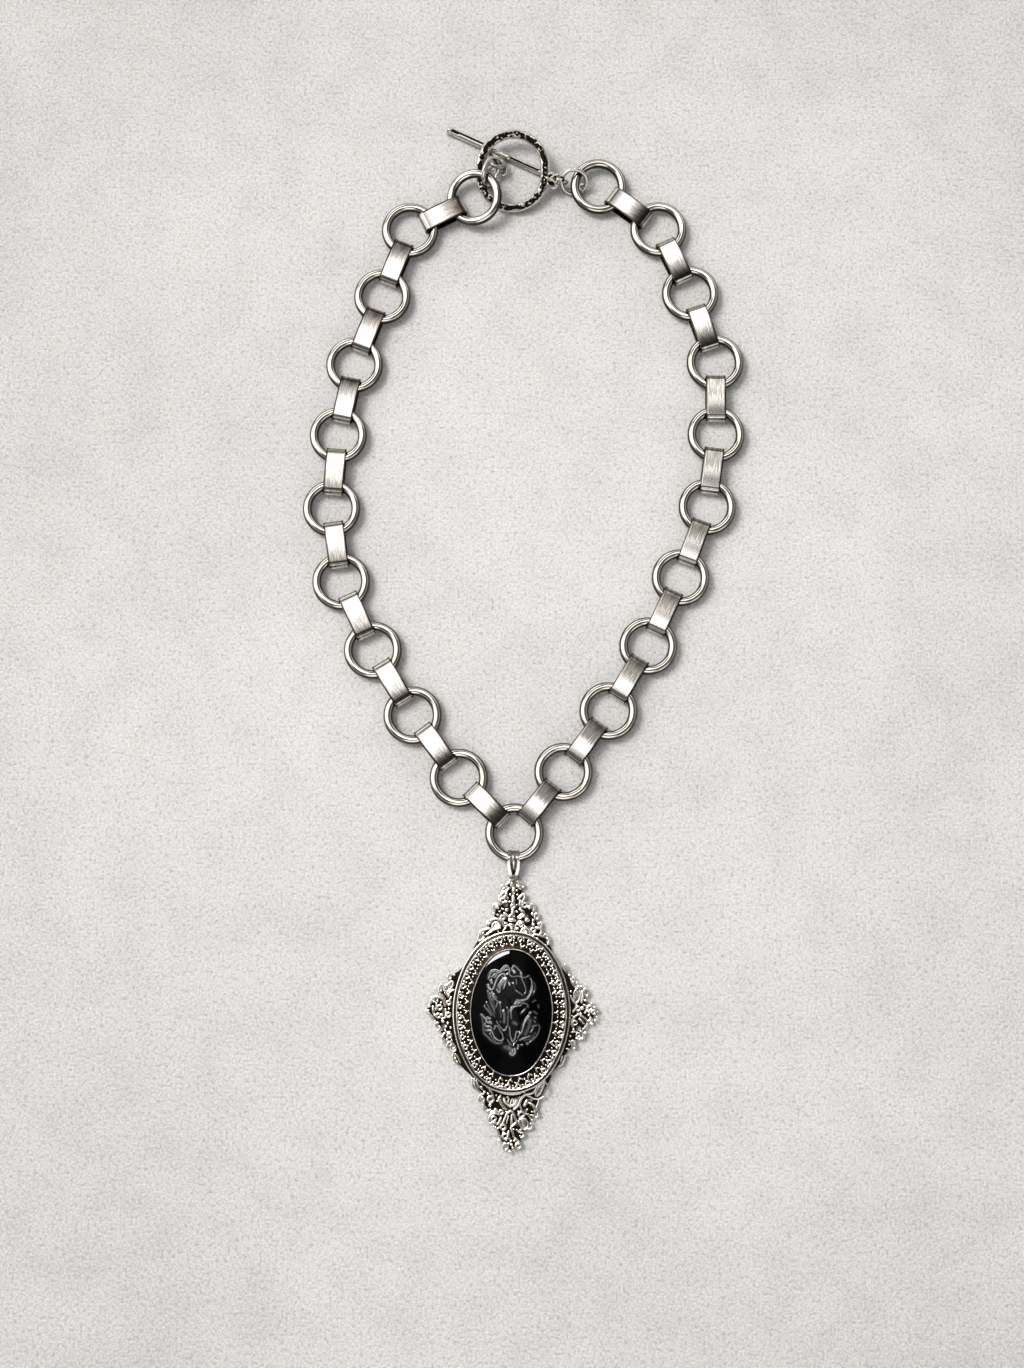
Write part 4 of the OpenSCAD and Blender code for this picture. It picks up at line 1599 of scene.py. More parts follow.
    def top(self) -> list[Stroke]:
        """Ornament of the upper arm."""
        w, o, e, f = Motif
        return [
            (w, 0.30, [(-0.7, 30.9), (-0.9, 30.3), (-1.3, 30.0), (-1.7, 29.6)]),
            (w, 0.24, [(-0.3, 30.3), (-0.5, 29.6), (-0.3, 29.1)]),
            (o, 0.24, [(0.9, 30.7), (1.8, 30.2), (2.6, 29.5), (2.2, 29.2), (1.5, 29.8), (1.0, 30.3)]),
            (w, 0.42, [(1.0, 29.5), (1.7, 28.9)]),
            (w, 0.46, [(0.1, 28.8), (0.1, 27.8)]),
            (e, 0.24, [(-2.4, 29.2), (0.42, 0)]),
            (w, 0.28, [(-2.7, 28.0), (-1.6, 28.3), (-1.0, 28.9)]),
            (e, 0.24, [(-2.3, 27.3), (0.5, 0)]),
            (w, 0.28, [(-1.5, 27.8), (-1.7, 27.2), (-1.3, 26.5)]),
            (e, 0.24, [(-2.4, 26.0), (0.5, 0)]),
            (w, 0.28, [(-3.2, 27.1), (-3.4, 26.2), (-3.1, 25.6), (-2.7, 25.2)]),
            (w, 0.26, [(-4.9, 24.0), (-4.6, 24.9), (-3.9, 25.3), (-3.1, 25.0)]),
            (w, 0.42, [(0.0, 27.0), (0.05, 26.0), (0.0, 25.3)]),
            (e, 0.28, [(0.0, 24.7), (0.42, 0)]),
            (w, 0.40, [(-0.1, 24.0), (0.0, 23.2), (0.2, 22.4)]),
            (w, 0.36, [(-2.0, 23.0), (-1.3, 22.4)]),
            (e, 0.24, [(-2.4, 22.0), (0.45, 0)]),
            (w, 0.46, [(-0.8, 21.4), (0.4, 21.4)]),
            (w, 0.34, [(-0.9, 22.0), (-0.5, 22.6)]),
            (w, 0.34, [(1.2, 26.4), (1.9, 27.2), (2.6, 27.5), (2.8, 26.9), (2.5, 26.3), (2.2, 25.5)]),
            (w, 0.30, [(1.7, 26.0), (1.6, 25.2), (1.9, 24.4)]),
            (e, 0.28, [(2.8, 25.0), (0.55, 0)]),
            (w, 0.26, [(4.2, 25.3), (4.9, 25.1), (5.1, 24.4), (4.8, 23.6)]),
            (w, 0.32, [(1.6, 24.0), (2.3, 23.5), (2.5, 23.0)]),
            (o, 0.20, [(1.2, 22.0), (1.9, 22.7), (2.8, 23.0), (2.4, 22.3), (1.6, 21.8)]),
            (o, 0.26, [(5.2, 22.8), (5.8, 23.0), (6.1, 22.3), (5.7, 21.7), (5.3, 22.0)]),
            (w, 0.24, [(6.6, 21.0), (6.9, 20.4), (6.6, 19.9)]),
            (w, 0.32, [(-5.2, 21.3), (-4.2, 21.7), (-3.2, 21.5), (-2.4, 20.9), (-2.2, 20.2)]),
            (f, 0.24, [(-4.8, 19.8), (-4.4, 20.7), (-3.5, 20.9), (-2.9, 20.3), (-3.4, 19.7)]),
            (w, 0.24, [(-5.9, 21.0), (-6.1, 20.2), (-5.6, 19.6)]),
            (w, 0.28, [(-6.2, 17.9), (-5.0, 18.8), (-4.0, 19.3), (-3.0, 19.5)]),
            (w, 0.26, [(-7.0, 19.0), (-5.8, 19.3), (-4.8, 19.2)]),
            (f, 0.24, [(-7.6, 18.7), (-8.1, 16.4), (-6.6, 17.4)]),
            (e, 0.24, [(-1.7, 20.3), (0.42, 0)]),
            (w, 0.40, [(-0.8, 20.2), (0.1, 20.2)]),
            (w, 0.34, [(-0.3, 19.7), (-0.2, 19.1)]),
            (w, 0.24, [(0.5, 19.0), (0.8, 20.2), (1.4, 21.1), (2.2, 21.1), (2.7, 20.4)]),
            (f, 0.26, [(2.0, 18.8), (2.8, 19.5), (3.4, 18.4)]),
            (e, 0.22, [(2.0, 20.3), (0.4, 0)]),
            (w, 0.26, [(2.9, 20.0), (3.7, 19.2), (4.3, 18.1)]),
            (w, 0.36, [(5.5, 19.7), (6.5, 19.6), (6.9, 18.9), (6.6, 18.4)]),
            (w, 0.32, [(4.6, 17.6), (5.3, 18.1), (6.5, 17.9), (7.3, 17.6)]),
            (w, 0.26, [(7.7, 18.2), (8.5, 17.5), (8.7, 16.6), (8.3, 15.8)]),
            (w, 0.24, [(-1.6, 19.6), (-2.2, 18.9)]),
            (e, 0.24, [(4.9, 19.2), (0.5, 0)]),
        ]

    def sides(self) -> list[Stroke]:
        """Ornament of the two side arms."""
        w, o, e, f = Motif
        return [
            (f, 0.24, [(14.7, 3.0), (14.7, 4.6), (15.3, 5.6), (15.9, 5.8), (16.2, 4.6), (15.9, 3.1),
                       (15.2, 2.4)]),
            (w, 0.36, [(16.6, 5.0), (16.7, 3.7), (16.4, 2.5)]),
            (o, 0.24, [(17.0, 5.5), (17.7, 5.3), (18.0, 4.6), (17.8, 3.8), (17.3, 4.2)]),
            (w, 0.24, [(13.9, 3.9), (14.3, 2.8), (15.0, 2.1)]),
            (e, 0.24, [(15.6, 1.0), (0.5, 0)]),
            (w, 0.28, [(14.4, 0.3), (15.1, 1.2), (15.2, 1.9)]),
            (w, 0.28, [(17.0, 1.9), (17.7, 1.5), (17.6, 0.6), (17.2, 0.0)]),
            (w, 0.24, [(15.7, -0.3), (14.9, -0.9), (14.2, -1.8), (14.2, -2.8), (14.6, -3.4)]),
            (w, 0.24, [(15.7, -0.3), (16.6, -0.8), (17.4, -1.4), (17.9, -2.2), (17.4, -3.2), (16.8, -3.8)]),
            (w, 0.32, [(16.0, -1.4), (17.0, -2.4)]),
            (e, 0.22, [(14.9, -2.3), (0.5, 0)]),
            (e, 0.26, [(18.4, 1.2), (0.48, 0)]),
            (e, 0.24, [(19.3, 0.2), (0.42, 0)]),
            (o, 0.2, [(19.4, 1.4), (20.0, 1.0), (20.5, 0.3), (20.1, 0.3), (19.6, 0.9)]),
            (e, 0.26, [(18.5, -2.0), (0.42, 0)]),
            (w, 0.30, [(16.3, -4.2), (16.9, -4.9), (16.8, -5.8), (16.0, -6.1), (15.3, -5.9)]),
            (e, 0.22, [(15.7, -5.1), (0.42, 0)]),
            (w, 0.24, [(14.1, -4.5), (14.6, -4.4), (15.3, -4.4)]),
            (o, 0.26, [(14.1, -6.7), (14.3, -7.5), (14.6, -8.2), (15.1, -8.0), (14.9, -7.2), (14.8, -6.5)]),
            (w, 0.26, [(13.0, -8.3), (13.7, -8.5)]),
            (w, 0.24, [(12.8, -9.9), (12.4, -11.2), (11.9, -12.1), (11.3, -12.3)]),
            (w, 0.22, [(12.1, -10.0), (11.7, -11.2)]),
            (w, 0.24, [(13.9, 7.8), (14.2, 6.8), (14.8, 6.0)]),
            (w, 0.24, [(12.4, 11.2), (12.9, 10.0), (13.2, 9.0)]),
            (w, 0.24, [(-14.8, 8.7), (-15.1, 7.9), (-14.8, 7.0)]),
            (f, 0.24, [(-15.7, 5.6), (-14.8, 6.4), (-14.0, 6.9), (-13.9, 6.0), (-14.5, 5.1), (-15.3, 4.5)]),
            (w, 0.32, [(-16.7, 6.2), (-16.0, 5.8), (-15.8, 4.8), (-15.3, 3.9), (-14.9, 3.4)]),
            (w, 0.28, [(-14.9, 3.6), (-14.4, 4.5), (-13.7, 4.9)]),
            (w, 0.26, [(-16.9, 5.8), (-17.2, 5.0), (-17.0, 4.1), (-16.3, 3.6), (-15.7, 2.8)]),
            (w, 0.28, [(-18.9, 3.0), (-17.8, 3.3), (-16.6, 3.0), (-15.9, 2.2), (-15.7, 1.2)]),
            (w, 0.30, [(-18.5, 1.0), (-18.3, -0.5)]),
            (e, 0.24, [(-16.9, 0.8), (0.52, 0)]),
            (e, 0.26, [(-17.2, -1.1), (0.48, 0)]),
            (w, 0.24, [(-17.7, 1.9), (-17.6, 1.0), (-17.8, 0.2)]),
            (w, 0.24, [(-20.0, -0.1), (-19.3, -0.7), (-18.8, -1.6), (-18.2, -2.0)]),
            (w, 0.24, [(-19.7, 0.9), (-19.3, 1.8), (-18.9, 2.6)]),
            (w, 0.30, [(-16.9, -3.6), (-16.3, -4.4)]),
            (w, 0.32, [(-15.7, -5.2), (-16.1, -6.0), (-15.8, -6.8)]),
            (e, 0.24, [(-14.5, -5.7), (0.48, 0)]),
            (w, 0.26, [(-14.4, -4.8), (-15.1, -4.9), (-15.6, -4.4)]),
            (f, 0.24, [(-14.5, -7.1), (-15.0, -7.9), (-14.6, -8.8), (-13.6, -9.2), (-12.9, -8.9),
                       (-13.3, -7.9)]),
            (w, 0.24, [(-13.4, -9.4), (-13.6, -10.4), (-13.1, -11.6), (-12.2, -12.5)]),
            (w, 0.22, [(-13.0, -9.9), (-12.3, -10.8), (-11.8, -11.9)]),
            (e, 0.24, [(-14.8, 1.9), (0.45, 0)]),
            (e, 0.24, [(-14.8, -0.9), (0.5, 0)]),
            (w, 0.26, [(-14.3, 3.2), (-14.5, 2.5)]),
            (w, 0.24, [(-16.4, -1.8), (-15.6, -1.5), (-15.4, -0.4), (-15.5, 0.4)]),
            (w, 0.24, [(-17.9, -2.3), (-17.8, -3.2), (-17.3, -3.9)]),
        ]

    def dots(self) -> list[Point]:
        """Single beads: x, y and radius."""
        return [
            (-0.6, -19.65, 0.34), (7.7, -19.5, 0.38), (4.3, -20.9, 0.3), (5.1, -24.8, 0.34),
            (4.2, -26.9, 0.3), (-3.4, -22.5, 0.46), (-4.7, -21.5, 0.46), (-6.8, -17.4, 0.36),
            (-6.0, -18.5, 0.36), (-5.2, -18.9, 0.34), (-1.5, -27.8, 0.34), (0.3, -29.7, 0.36),
            (-0.8, -29.4, 0.34), (1.1, -29.6, 0.34), (0.4, -30.5, 0.38), (-0.2, -30.2, 0.3),
            (2.4, -28.5, 0.24), (3.2, -28.5, 0.32), (-2.5, -29.5, 0.3), (0.1, -32.1, 0.42),
            (2.2, -19.6, 0.24), (-3.0, -20.6, 0.26), (-3.3, -19.3, 0.26), (1.9, -22.9, 0.26),
            (4.0, -22.4, 0.3), (5.1, -22.9, 0.24), (-0.9, -23.0, 0.24), (-2.9, -27.0, 0.26),
            (0.9, -27.0, 0.24), (2.5, -27.1, 0.28), (-0.7, 27.4, 0.3), (-1.6, 25.7, 0.4), (-0.8, 25.7, 0.3),
            (-3.7, 24.4, 0.55), (-4.5, 22.9, 0.5), (-3.6, 22.6, 0.3), (-1.5, 23.8, 0.5), (-2.5, 24.0, 0.34),
            (0.9, 23.4, 0.34), (0.9, 25.0, 0.26), (3.9, 24.5, 0.5), (3.4, 21.5, 0.66), (4.6, 22.9, 0.42),
            (4.8, 21.4, 0.36), (4.8, 20.5, 0.46), (6.2, 20.6, 0.44), (-5.6, 20.5, 0.36), (-0.1, 19.0, 0.3),
            (1.1, 19.4, 0.4), (3.2, 17.6, 0.3), (8.2, 17.2, 0.34), (8.3, 16.2, 0.3), (-7.0, 18.2, 0.3),
            (1.0, 27.4, 0.3), (0.9, 28.4, 0.26), (-1.5, 29.2, 0.26), (5.9, 17.2, 0.26), (-3.1, 23.4, 0.26),
            (1.2, 20.4, 0.24), (-3.4, 18.7, 0.26), (15.6, 6.1, 0.46), (14.4, 8.1, 0.36), (13.5, 8.7, 0.32),
            (14.4, 7.1, 0.3), (15.3, 7.0, 0.32), (16.3, 6.1, 0.3), (16.6, 1.1, 0.5), (18.2, 0.3, 0.46),
            (18.2, -0.5, 0.4), (19.7, -1.7, 0.4), (20.1, -0.9, 0.32), (19.0, -2.6, 0.34), (17.4, -4.6, 0.4),
            (14.6, -3.9, 0.4), (14.8, -7.3, 0.24), (18.8, 2.2, 0.34), (17.3, 2.9, 0.36), (16.3, -0.2, 0.34),
            (13.9, -5.4, 0.32), (13.7, -6.6, 0.3), (13.6, -7.4, 0.3), (14.3, -0.7, 0.28),
            (18.6, -1.1, 0.34), (15.0, -6.6, 0.28), (13.9, 4.9, 0.3), (-13.6, 8.4, 0.36),
            (-14.4, 7.6, 0.32), (-20.1, 0.3, 0.34), (-19.4, 1.1, 0.44), (-19.6, 0.0, 0.36),
            (-17.4, 2.4, 0.32), (-18.3, 2.2, 0.36), (-16.4, -0.9, 0.38), (-18.0, -1.0, 0.38),
            (-16.1, -2.4, 0.46), (-14.9, -2.8, 0.4), (-17.3, -2.8, 0.38), (-17.2, -4.5, 0.34),
            (-16.3, -7.1, 0.3), (-14.1, -8.0, 0.34), (-13.4, -8.6, 0.28), (-14.2, -3.9, 0.34),
            (-15.3, -3.6, 0.34), (-15.0, -6.6, 0.3), (-16.6, 1.9, 0.3), (-13.9, -6.7, 0.28),
            (-12.6, -11.7, 0.26), (-13.0, -10.9, 0.22), (-14.7, 0.5, 0.34), (-16.6, 4.6, 0.26),
        ]

    def outlines(self) -> list[list[Point]]:
        """Outlines of the four arms' sheets from the stone's middle, in the order of the arms."""
        return [
            [(-8.6, -13.5), (-7.9, -16.5), (-6.9, -19.2), (-6.2, -21.2), (-5.0, -22.7), (-4.4, -24.8),
             (-3.5, -26.2), (-2.6, -28.0), (-2.2, -29.3), (-0.9, -30.6), (0.1, -31.7), (1.2, -31.0),
             (2.2, -30.2), (2.6, -28.9), (3.2, -27.5), (4.2, -26.3), (4.7, -24.9), (5.6, -23.2),
             (6.0, -21.6), (6.9, -19.7), (7.9, -17.8), (8.5, -13.5)],
            [(-8.2, 13.5), (-7.6, 17.2), (-6.4, 18.9), (-5.4, 20.4), (-4.5, 21.6), (-4.2, 23.4),
             (-3.6, 24.8), (-2.9, 26.4), (-2.4, 28.2), (-1.6, 29.6), (-0.5, 30.5), (0.9, 30.4),
             (1.8, 29.3), (2.1, 27.6), (2.6, 26.0), (3.9, 24.8), (4.9, 23.2), (5.6, 21.2), (6.2, 19.4),
             (7.3, 17.7), (8.4, 13.5)],
            [(8.5, 11.0), (11.4, 10.4), (12.8, 9.2), (13.8, 7.7), (15.0, 6.3), (16.6, 5.2), (17.2, 3.9),
             (17.6, 2.3), (19.0, 1.2), (19.7, 0.2), (19.0, -1.3), (17.4, -2.6), (16.7, -4.4), (15.8, -5.6),
             (14.6, -6.9), (13.9, -8.2), (12.6, -9.8), (11.8, -11.4), (8.5, -12.5)],
            [(-8.5, 10.5), (-12.6, 9.3), (-14.3, 8.0), (-14.6, 6.4), (-15.9, 5.4), (-16.7, 4.3),
             (-16.8, 3.0), (-18.3, 2.5), (-19.2, 1.2), (-19.9, 0.3), (-19.1, -0.5), (-18.1, -1.7),
             (-17.2, -3.1), (-16.5, -4.8), (-15.6, -6.3), (-14.6, -7.6), (-13.6, -9.1), (-12.9, -10.8),
             (-11.7, -12.6), (-8.5, -13.0)],
        ]

    def pierced(self, arm: Arm) -> Array:
        """Middles of an arm's pierced holes, in rows that narrow towards its tip.

        Args:
            arm: one row of the arms.

        Returns:
            Rows of x and y from the stone's middle.
        """
        heading, reach, start, wide, narrow = arm
        found = []
        for row in range(int((reach - start) / self.pierce_step) - 1):
            along = (2 + row * self.pierce_step) / (reach - start)
            half = wide + (narrow - wide) * along
            count = max(1, int(2 * half / self.pierce_step))
            for k in range(count):
                across = 0 if count == 1 else (2 * k / (count - 1) - 1) * (1 - 1 / count)
                found.append((start + (reach - self.tip - start) * along, across * half, 0.0))
        return turn_z(np.array(found), heading)[:, :2]

    def plate(self, metal: Finish) -> Piece:
        """The pierced sheets behind the wires, the oval under the setting, and the tongue in the bail.

        Args:
            metal: their material.

        Returns:
            The finished piece.
        """
        work = Work()
        circle = circle_points(self.pierce_radius, 16)[::-1, :2]
        for outline, arm in zip(self.outlines(), self.arms):
            rim = eased(outline, 3, True)
            holes = [
                circle + middle for middle in self.pierced(arm)
                if np.linalg.norm(rim - middle, axis=1).min() > self.pierce_radius + self.pierce_edge
                and self.outline.distance(circle + middle) > self.pierce_near
            ]
            # The sheets are fully dark: oxidised metal, and painted shade in the gaps between the wires.
            work.sheet(rim, holes, 0.0, self.floor, 1.0)
        oval, _ = self.outline.even(3.3, 160)
        work.sheet(oval, [], 0.03, self.floor - 0.03, 1.0)
        tongue = np.array([(-0.8, 29.0), (0.8, 29.0), (0.8, 31.6), (-0.8, 31.6)])
        work.sheet(tongue, [], 0.55, 1.15, 0.6)
        return dress(work.moved(self.place).build("openwork_sheet"), metal, Slot.SETTING, ["filigree_plate"])

    def wires(self, metal: Finish) -> Piece:
        """Wires, loops, eyelets and leaves, dark where they meet the plate.

        Args:
            metal: their material.

        Returns:
            The finished piece.
        """
        work = Work()
        for number, (kind, radius, points) in enumerate(self.bottom() + self.top() + self.sides()):
            ring = kind is not Motif.WIRE
            if kind is Motif.EYELET:
                middle, (size, _) = points
                flat = circle_points(size, 18)[:, :2] + middle
            else:
                flat = eased(points, 5, ring)
            lift = self.rise + radius * 0.35 + 0.1 * math.sin(1.7 * number)
            taper = 1.0 if ring else 0.85 + 0.15 * np.sin(np.linspace(0, math.pi, len(flat)))
            work.wire(raised(flat, lift), 1.1 * radius * taper, ring=ring, flat=1.2)
            if kind is Motif.LEAF:
                self.leaf(work, points, lift)
        work.darkened(self.floor + 0.15, self.rise + 0.2).moved(self.place)
        return dress(work.build("openwork_wires", 60, 0.5), metal, Slot.SETTING)

    def leaf(self, work: Work, points: Sequence[Point], lift: float) -> None:
        """A domed web inside a leaf's outline, with its three ribs.

        Args:
            work: shells are added to it.
            points: the outline.
            lift: height of the outline's wire.
        """
        rim = eased(points, 4, True)
        middle = rim.mean(0)
        web = ((1.0, self.floor), (1.0, lift - 0.25), (0.6, lift - 0.1), (0.25, lift))
        loops = [raised(middle + (rim - middle) * share, height) for share, height in web]
        work.loft(np.array(loops), False, 0.62)
        far = rim[np.argmax(np.linalg.norm(rim - middle, axis=1))] - middle
        x, y = unit(far)
        for shift in (-0.35, 0.0, 0.35):
            side = middle + shift * np.array([-y, x])
            rib = eased([side + 0.55 * far, side, side - 0.55 * far], 4)
            work.wire(raised(rib, lift + 0.08), 0.1, sides=6)

    def beads(self, metal: Finish) -> Piece:
        """The single beads.

        Args:
            metal: their material.

        Returns:
            The finished piece.
        """
        dots = np.array(self.dots())
        size = dots[:, 2]
        points = self.place(raised(dots[:, :2], self.rise + 0.3 * size))
        layout = Layout(points, np.zeros(points.shape), np.outer(size, (1, 1, 1.15)))
        inputs = {"Bead Sides": 14, "Bead Rows": 10, "Metal": metal}
        return dress(layout.grow("openwork_beads", bead_tree("bead_rows"), inputs), metal, Slot.SETTING)

    def build(self, metal: Finish) -> list[Piece]:
        """Makes the wirework, its beads and the sheet, in this order, and returns them."""
        return [self.wires(metal), self.beads(metal), self.plate(metal)]


@dataclass
class Setting(Pendant):
    """Tray, side wall, ornamental border, rim and lip that hold the stone.

    Attributes:
        base: height of its underside.
        rim: height of the raised rim.
        ground: height of the border's ground.
        lip: height of the lip's crest.
        floor: height of the tray's floor.
        columns: mesh points round it.
        outer_row: number of eyelets next to the rim, and their distance outside the stone.
        inner_row: number of sprigs next to the lip, and their distance outside the stone.
    """

    base: float = 1.3
    rim: float = 3.6
    ground: float = 2.95
    lip: float = 3.98
    floor: float = 2.06
    columns: int = 288
    outer_row: tuple[int, float] = (39, 2.05)
    inner_row: tuple[int, float] = (36, 0.8)

    def profile(self) -> list[Point]:
        """Section of the setting: step outside the stone, height and patina.

        Returns:
            Rows once round, from the underside outwards.
        """
        b, r, g, t = self.base, self.rim, self.ground, self.lip
        return [
            (-2.0, b, 0.9), (3.6, b, 0.9), (3.78, b + 0.05, 0.5), (3.85, b + 0.2, 0), (3.83, b + 0.36, 0),
            (3.74, b + 0.46, 0), (3.6, b + 0.5, 0), (3.47, b + 0.46, 0), (3.4, b + 0.36, 0.8),
            (3.36, b + 0.42, 1), (3.28, b + 0.75, 1), (3.2, b + 1.3, 0.95), (3.1, b + 1.75, 0.9),
            (3.0, r - 0.4, 0.95), (2.94, r - 0.28, 0.7), (2.92, r - 0.14, 0.1), (2.87, r - 0.03, 0),
            (2.8, r, 0), (2.73, r - 0.04, 0.4), (2.66, r - 0.16, 1), (2.58, r - 0.5, 1), (2.48, g, 1),
            (1.4, g, 1), (0.6, g + 0.05, 1), (0.3, g + 0.25, 1), (0.0, g + 0.55, 1), (-0.2, t - 0.34, 1),
            (-0.3, t - 0.2, 0.7), (-0.38, t - 0.1, 0.1), (-0.46, t - 0.1, 0.1), (-0.54, t - 0.2, 0.3),
            (-0.6, t - 0.3, 1), (0.04, t - 0.72, 1), (0.04, self.floor, 1), (-2.0, self.floor, 1),
        ]

    def build(self, metal: Finish) -> list[Piece]:
        """Makes the setting and the two rows of its border.

        Args:
            metal: their material.

        Returns:
            The three finished pieces.
        """
        _, angle = self.outline.even(0.0, self.columns)
        loops = [raised(self.outline.facing(angle, step), height) for step, height, _ in self.profile()]
        dark = np.array(self.profile())[:, 2:]
        work = Work()
        work.loft(np.array(loops), False, dark, (0.4, 1))
        tray = work.moved(self.place).build("setting_tray", 38, 0.3)
        return [
            dress(tray, metal, Slot.SETTING, ["bezel_setting"]),
            self.border("setting_eyelets", self.eyelet(), self.outer_row, metal),
            self.border("setting_sprigs", self.sprig(), self.inner_row, metal),
        ]

    def eyelet(self) -> Piece:
        """One eyelet of the border with its beads; +Y points away from the stone.

        Returns:
            The object to repeat.
        """
        work = Work()
        arch = [(-0.5, 0.0), (-0.42, 0.42), (0.0, 0.6), (0.42, 0.42), (0.5, 0.0), (0.0, -0.42)]
        work.wire(raised(eased(arch, 4, True), 0.3), 0.22, ring=True, flat=1.2)
        for middle, size in (((1.15, 0.3, 0.3), 0.34), ((1.1, -0.35, 0.3), 0.22), ((0.0, -0.6, 0.3), 0.24)):
            work.bead(middle, size)
        return work.darkened(0.04, 0.26).build("eyelet_unit", 60, 0.5)

    def sprig(self) -> Piece:
        """One forked sprig with its beads; +Y points away from the stone.

        Returns:
            The object to repeat.
        """
        work = Work()
        stem = [(-0.5, 0.1), (-0.25, -0.2), (0, -0.45), (0.05, -0.85)]
        for fork in (stem, [(0.5, 0.25), (0.3, -0.15), (0, -0.45)]):
            work.wire(raised(eased(fork, 4), 0.3), 0.18, flat=1.2)
        for middle, size in (((0.0, -0.28, 0.32), 0.27), ((1.2, 0.1, 0.32), 0.22)):
            work.bead(middle, size)
        return work.darkened(0.04, 0.26).build("sprig_unit", 60, 0.5)

    def border(self, name: str, template: Piece, row: tuple[int, float], metal: Finish) -> Piece:
        """Sets one row of ornament round the border.

        Args:
            name: of the finished piece.
            template: the ornament to repeat.
            row: number of ornaments, and their distance outside the stone.
            metal: its material.

        Returns:
            The finished piece.
        """
        count, step = row
        flat, angle = self.outline.even(step, count)
        numbers = np.arange(count)
        jitter = 0.5 * (hashed(numbers, 3) - 0.5)
        headings = angle - math.pi / 2 + math.radians(self.turn) + jitter
        stretch = ((0.8, 0.35, 5), (0.85, 0.3, 6), (0.9, 0.3, 8))
        sizes = [low + more * hashed(numbers, seed) for low, more, seed in stretch]
        points = self.place(raised(flat, self.ground - 0.03))
        layout = Layout(points, np.outer(headings, UP), np.column_stack(sizes))
        return dress(layout.copies(name, template, metal), metal, Slot.SETTING)


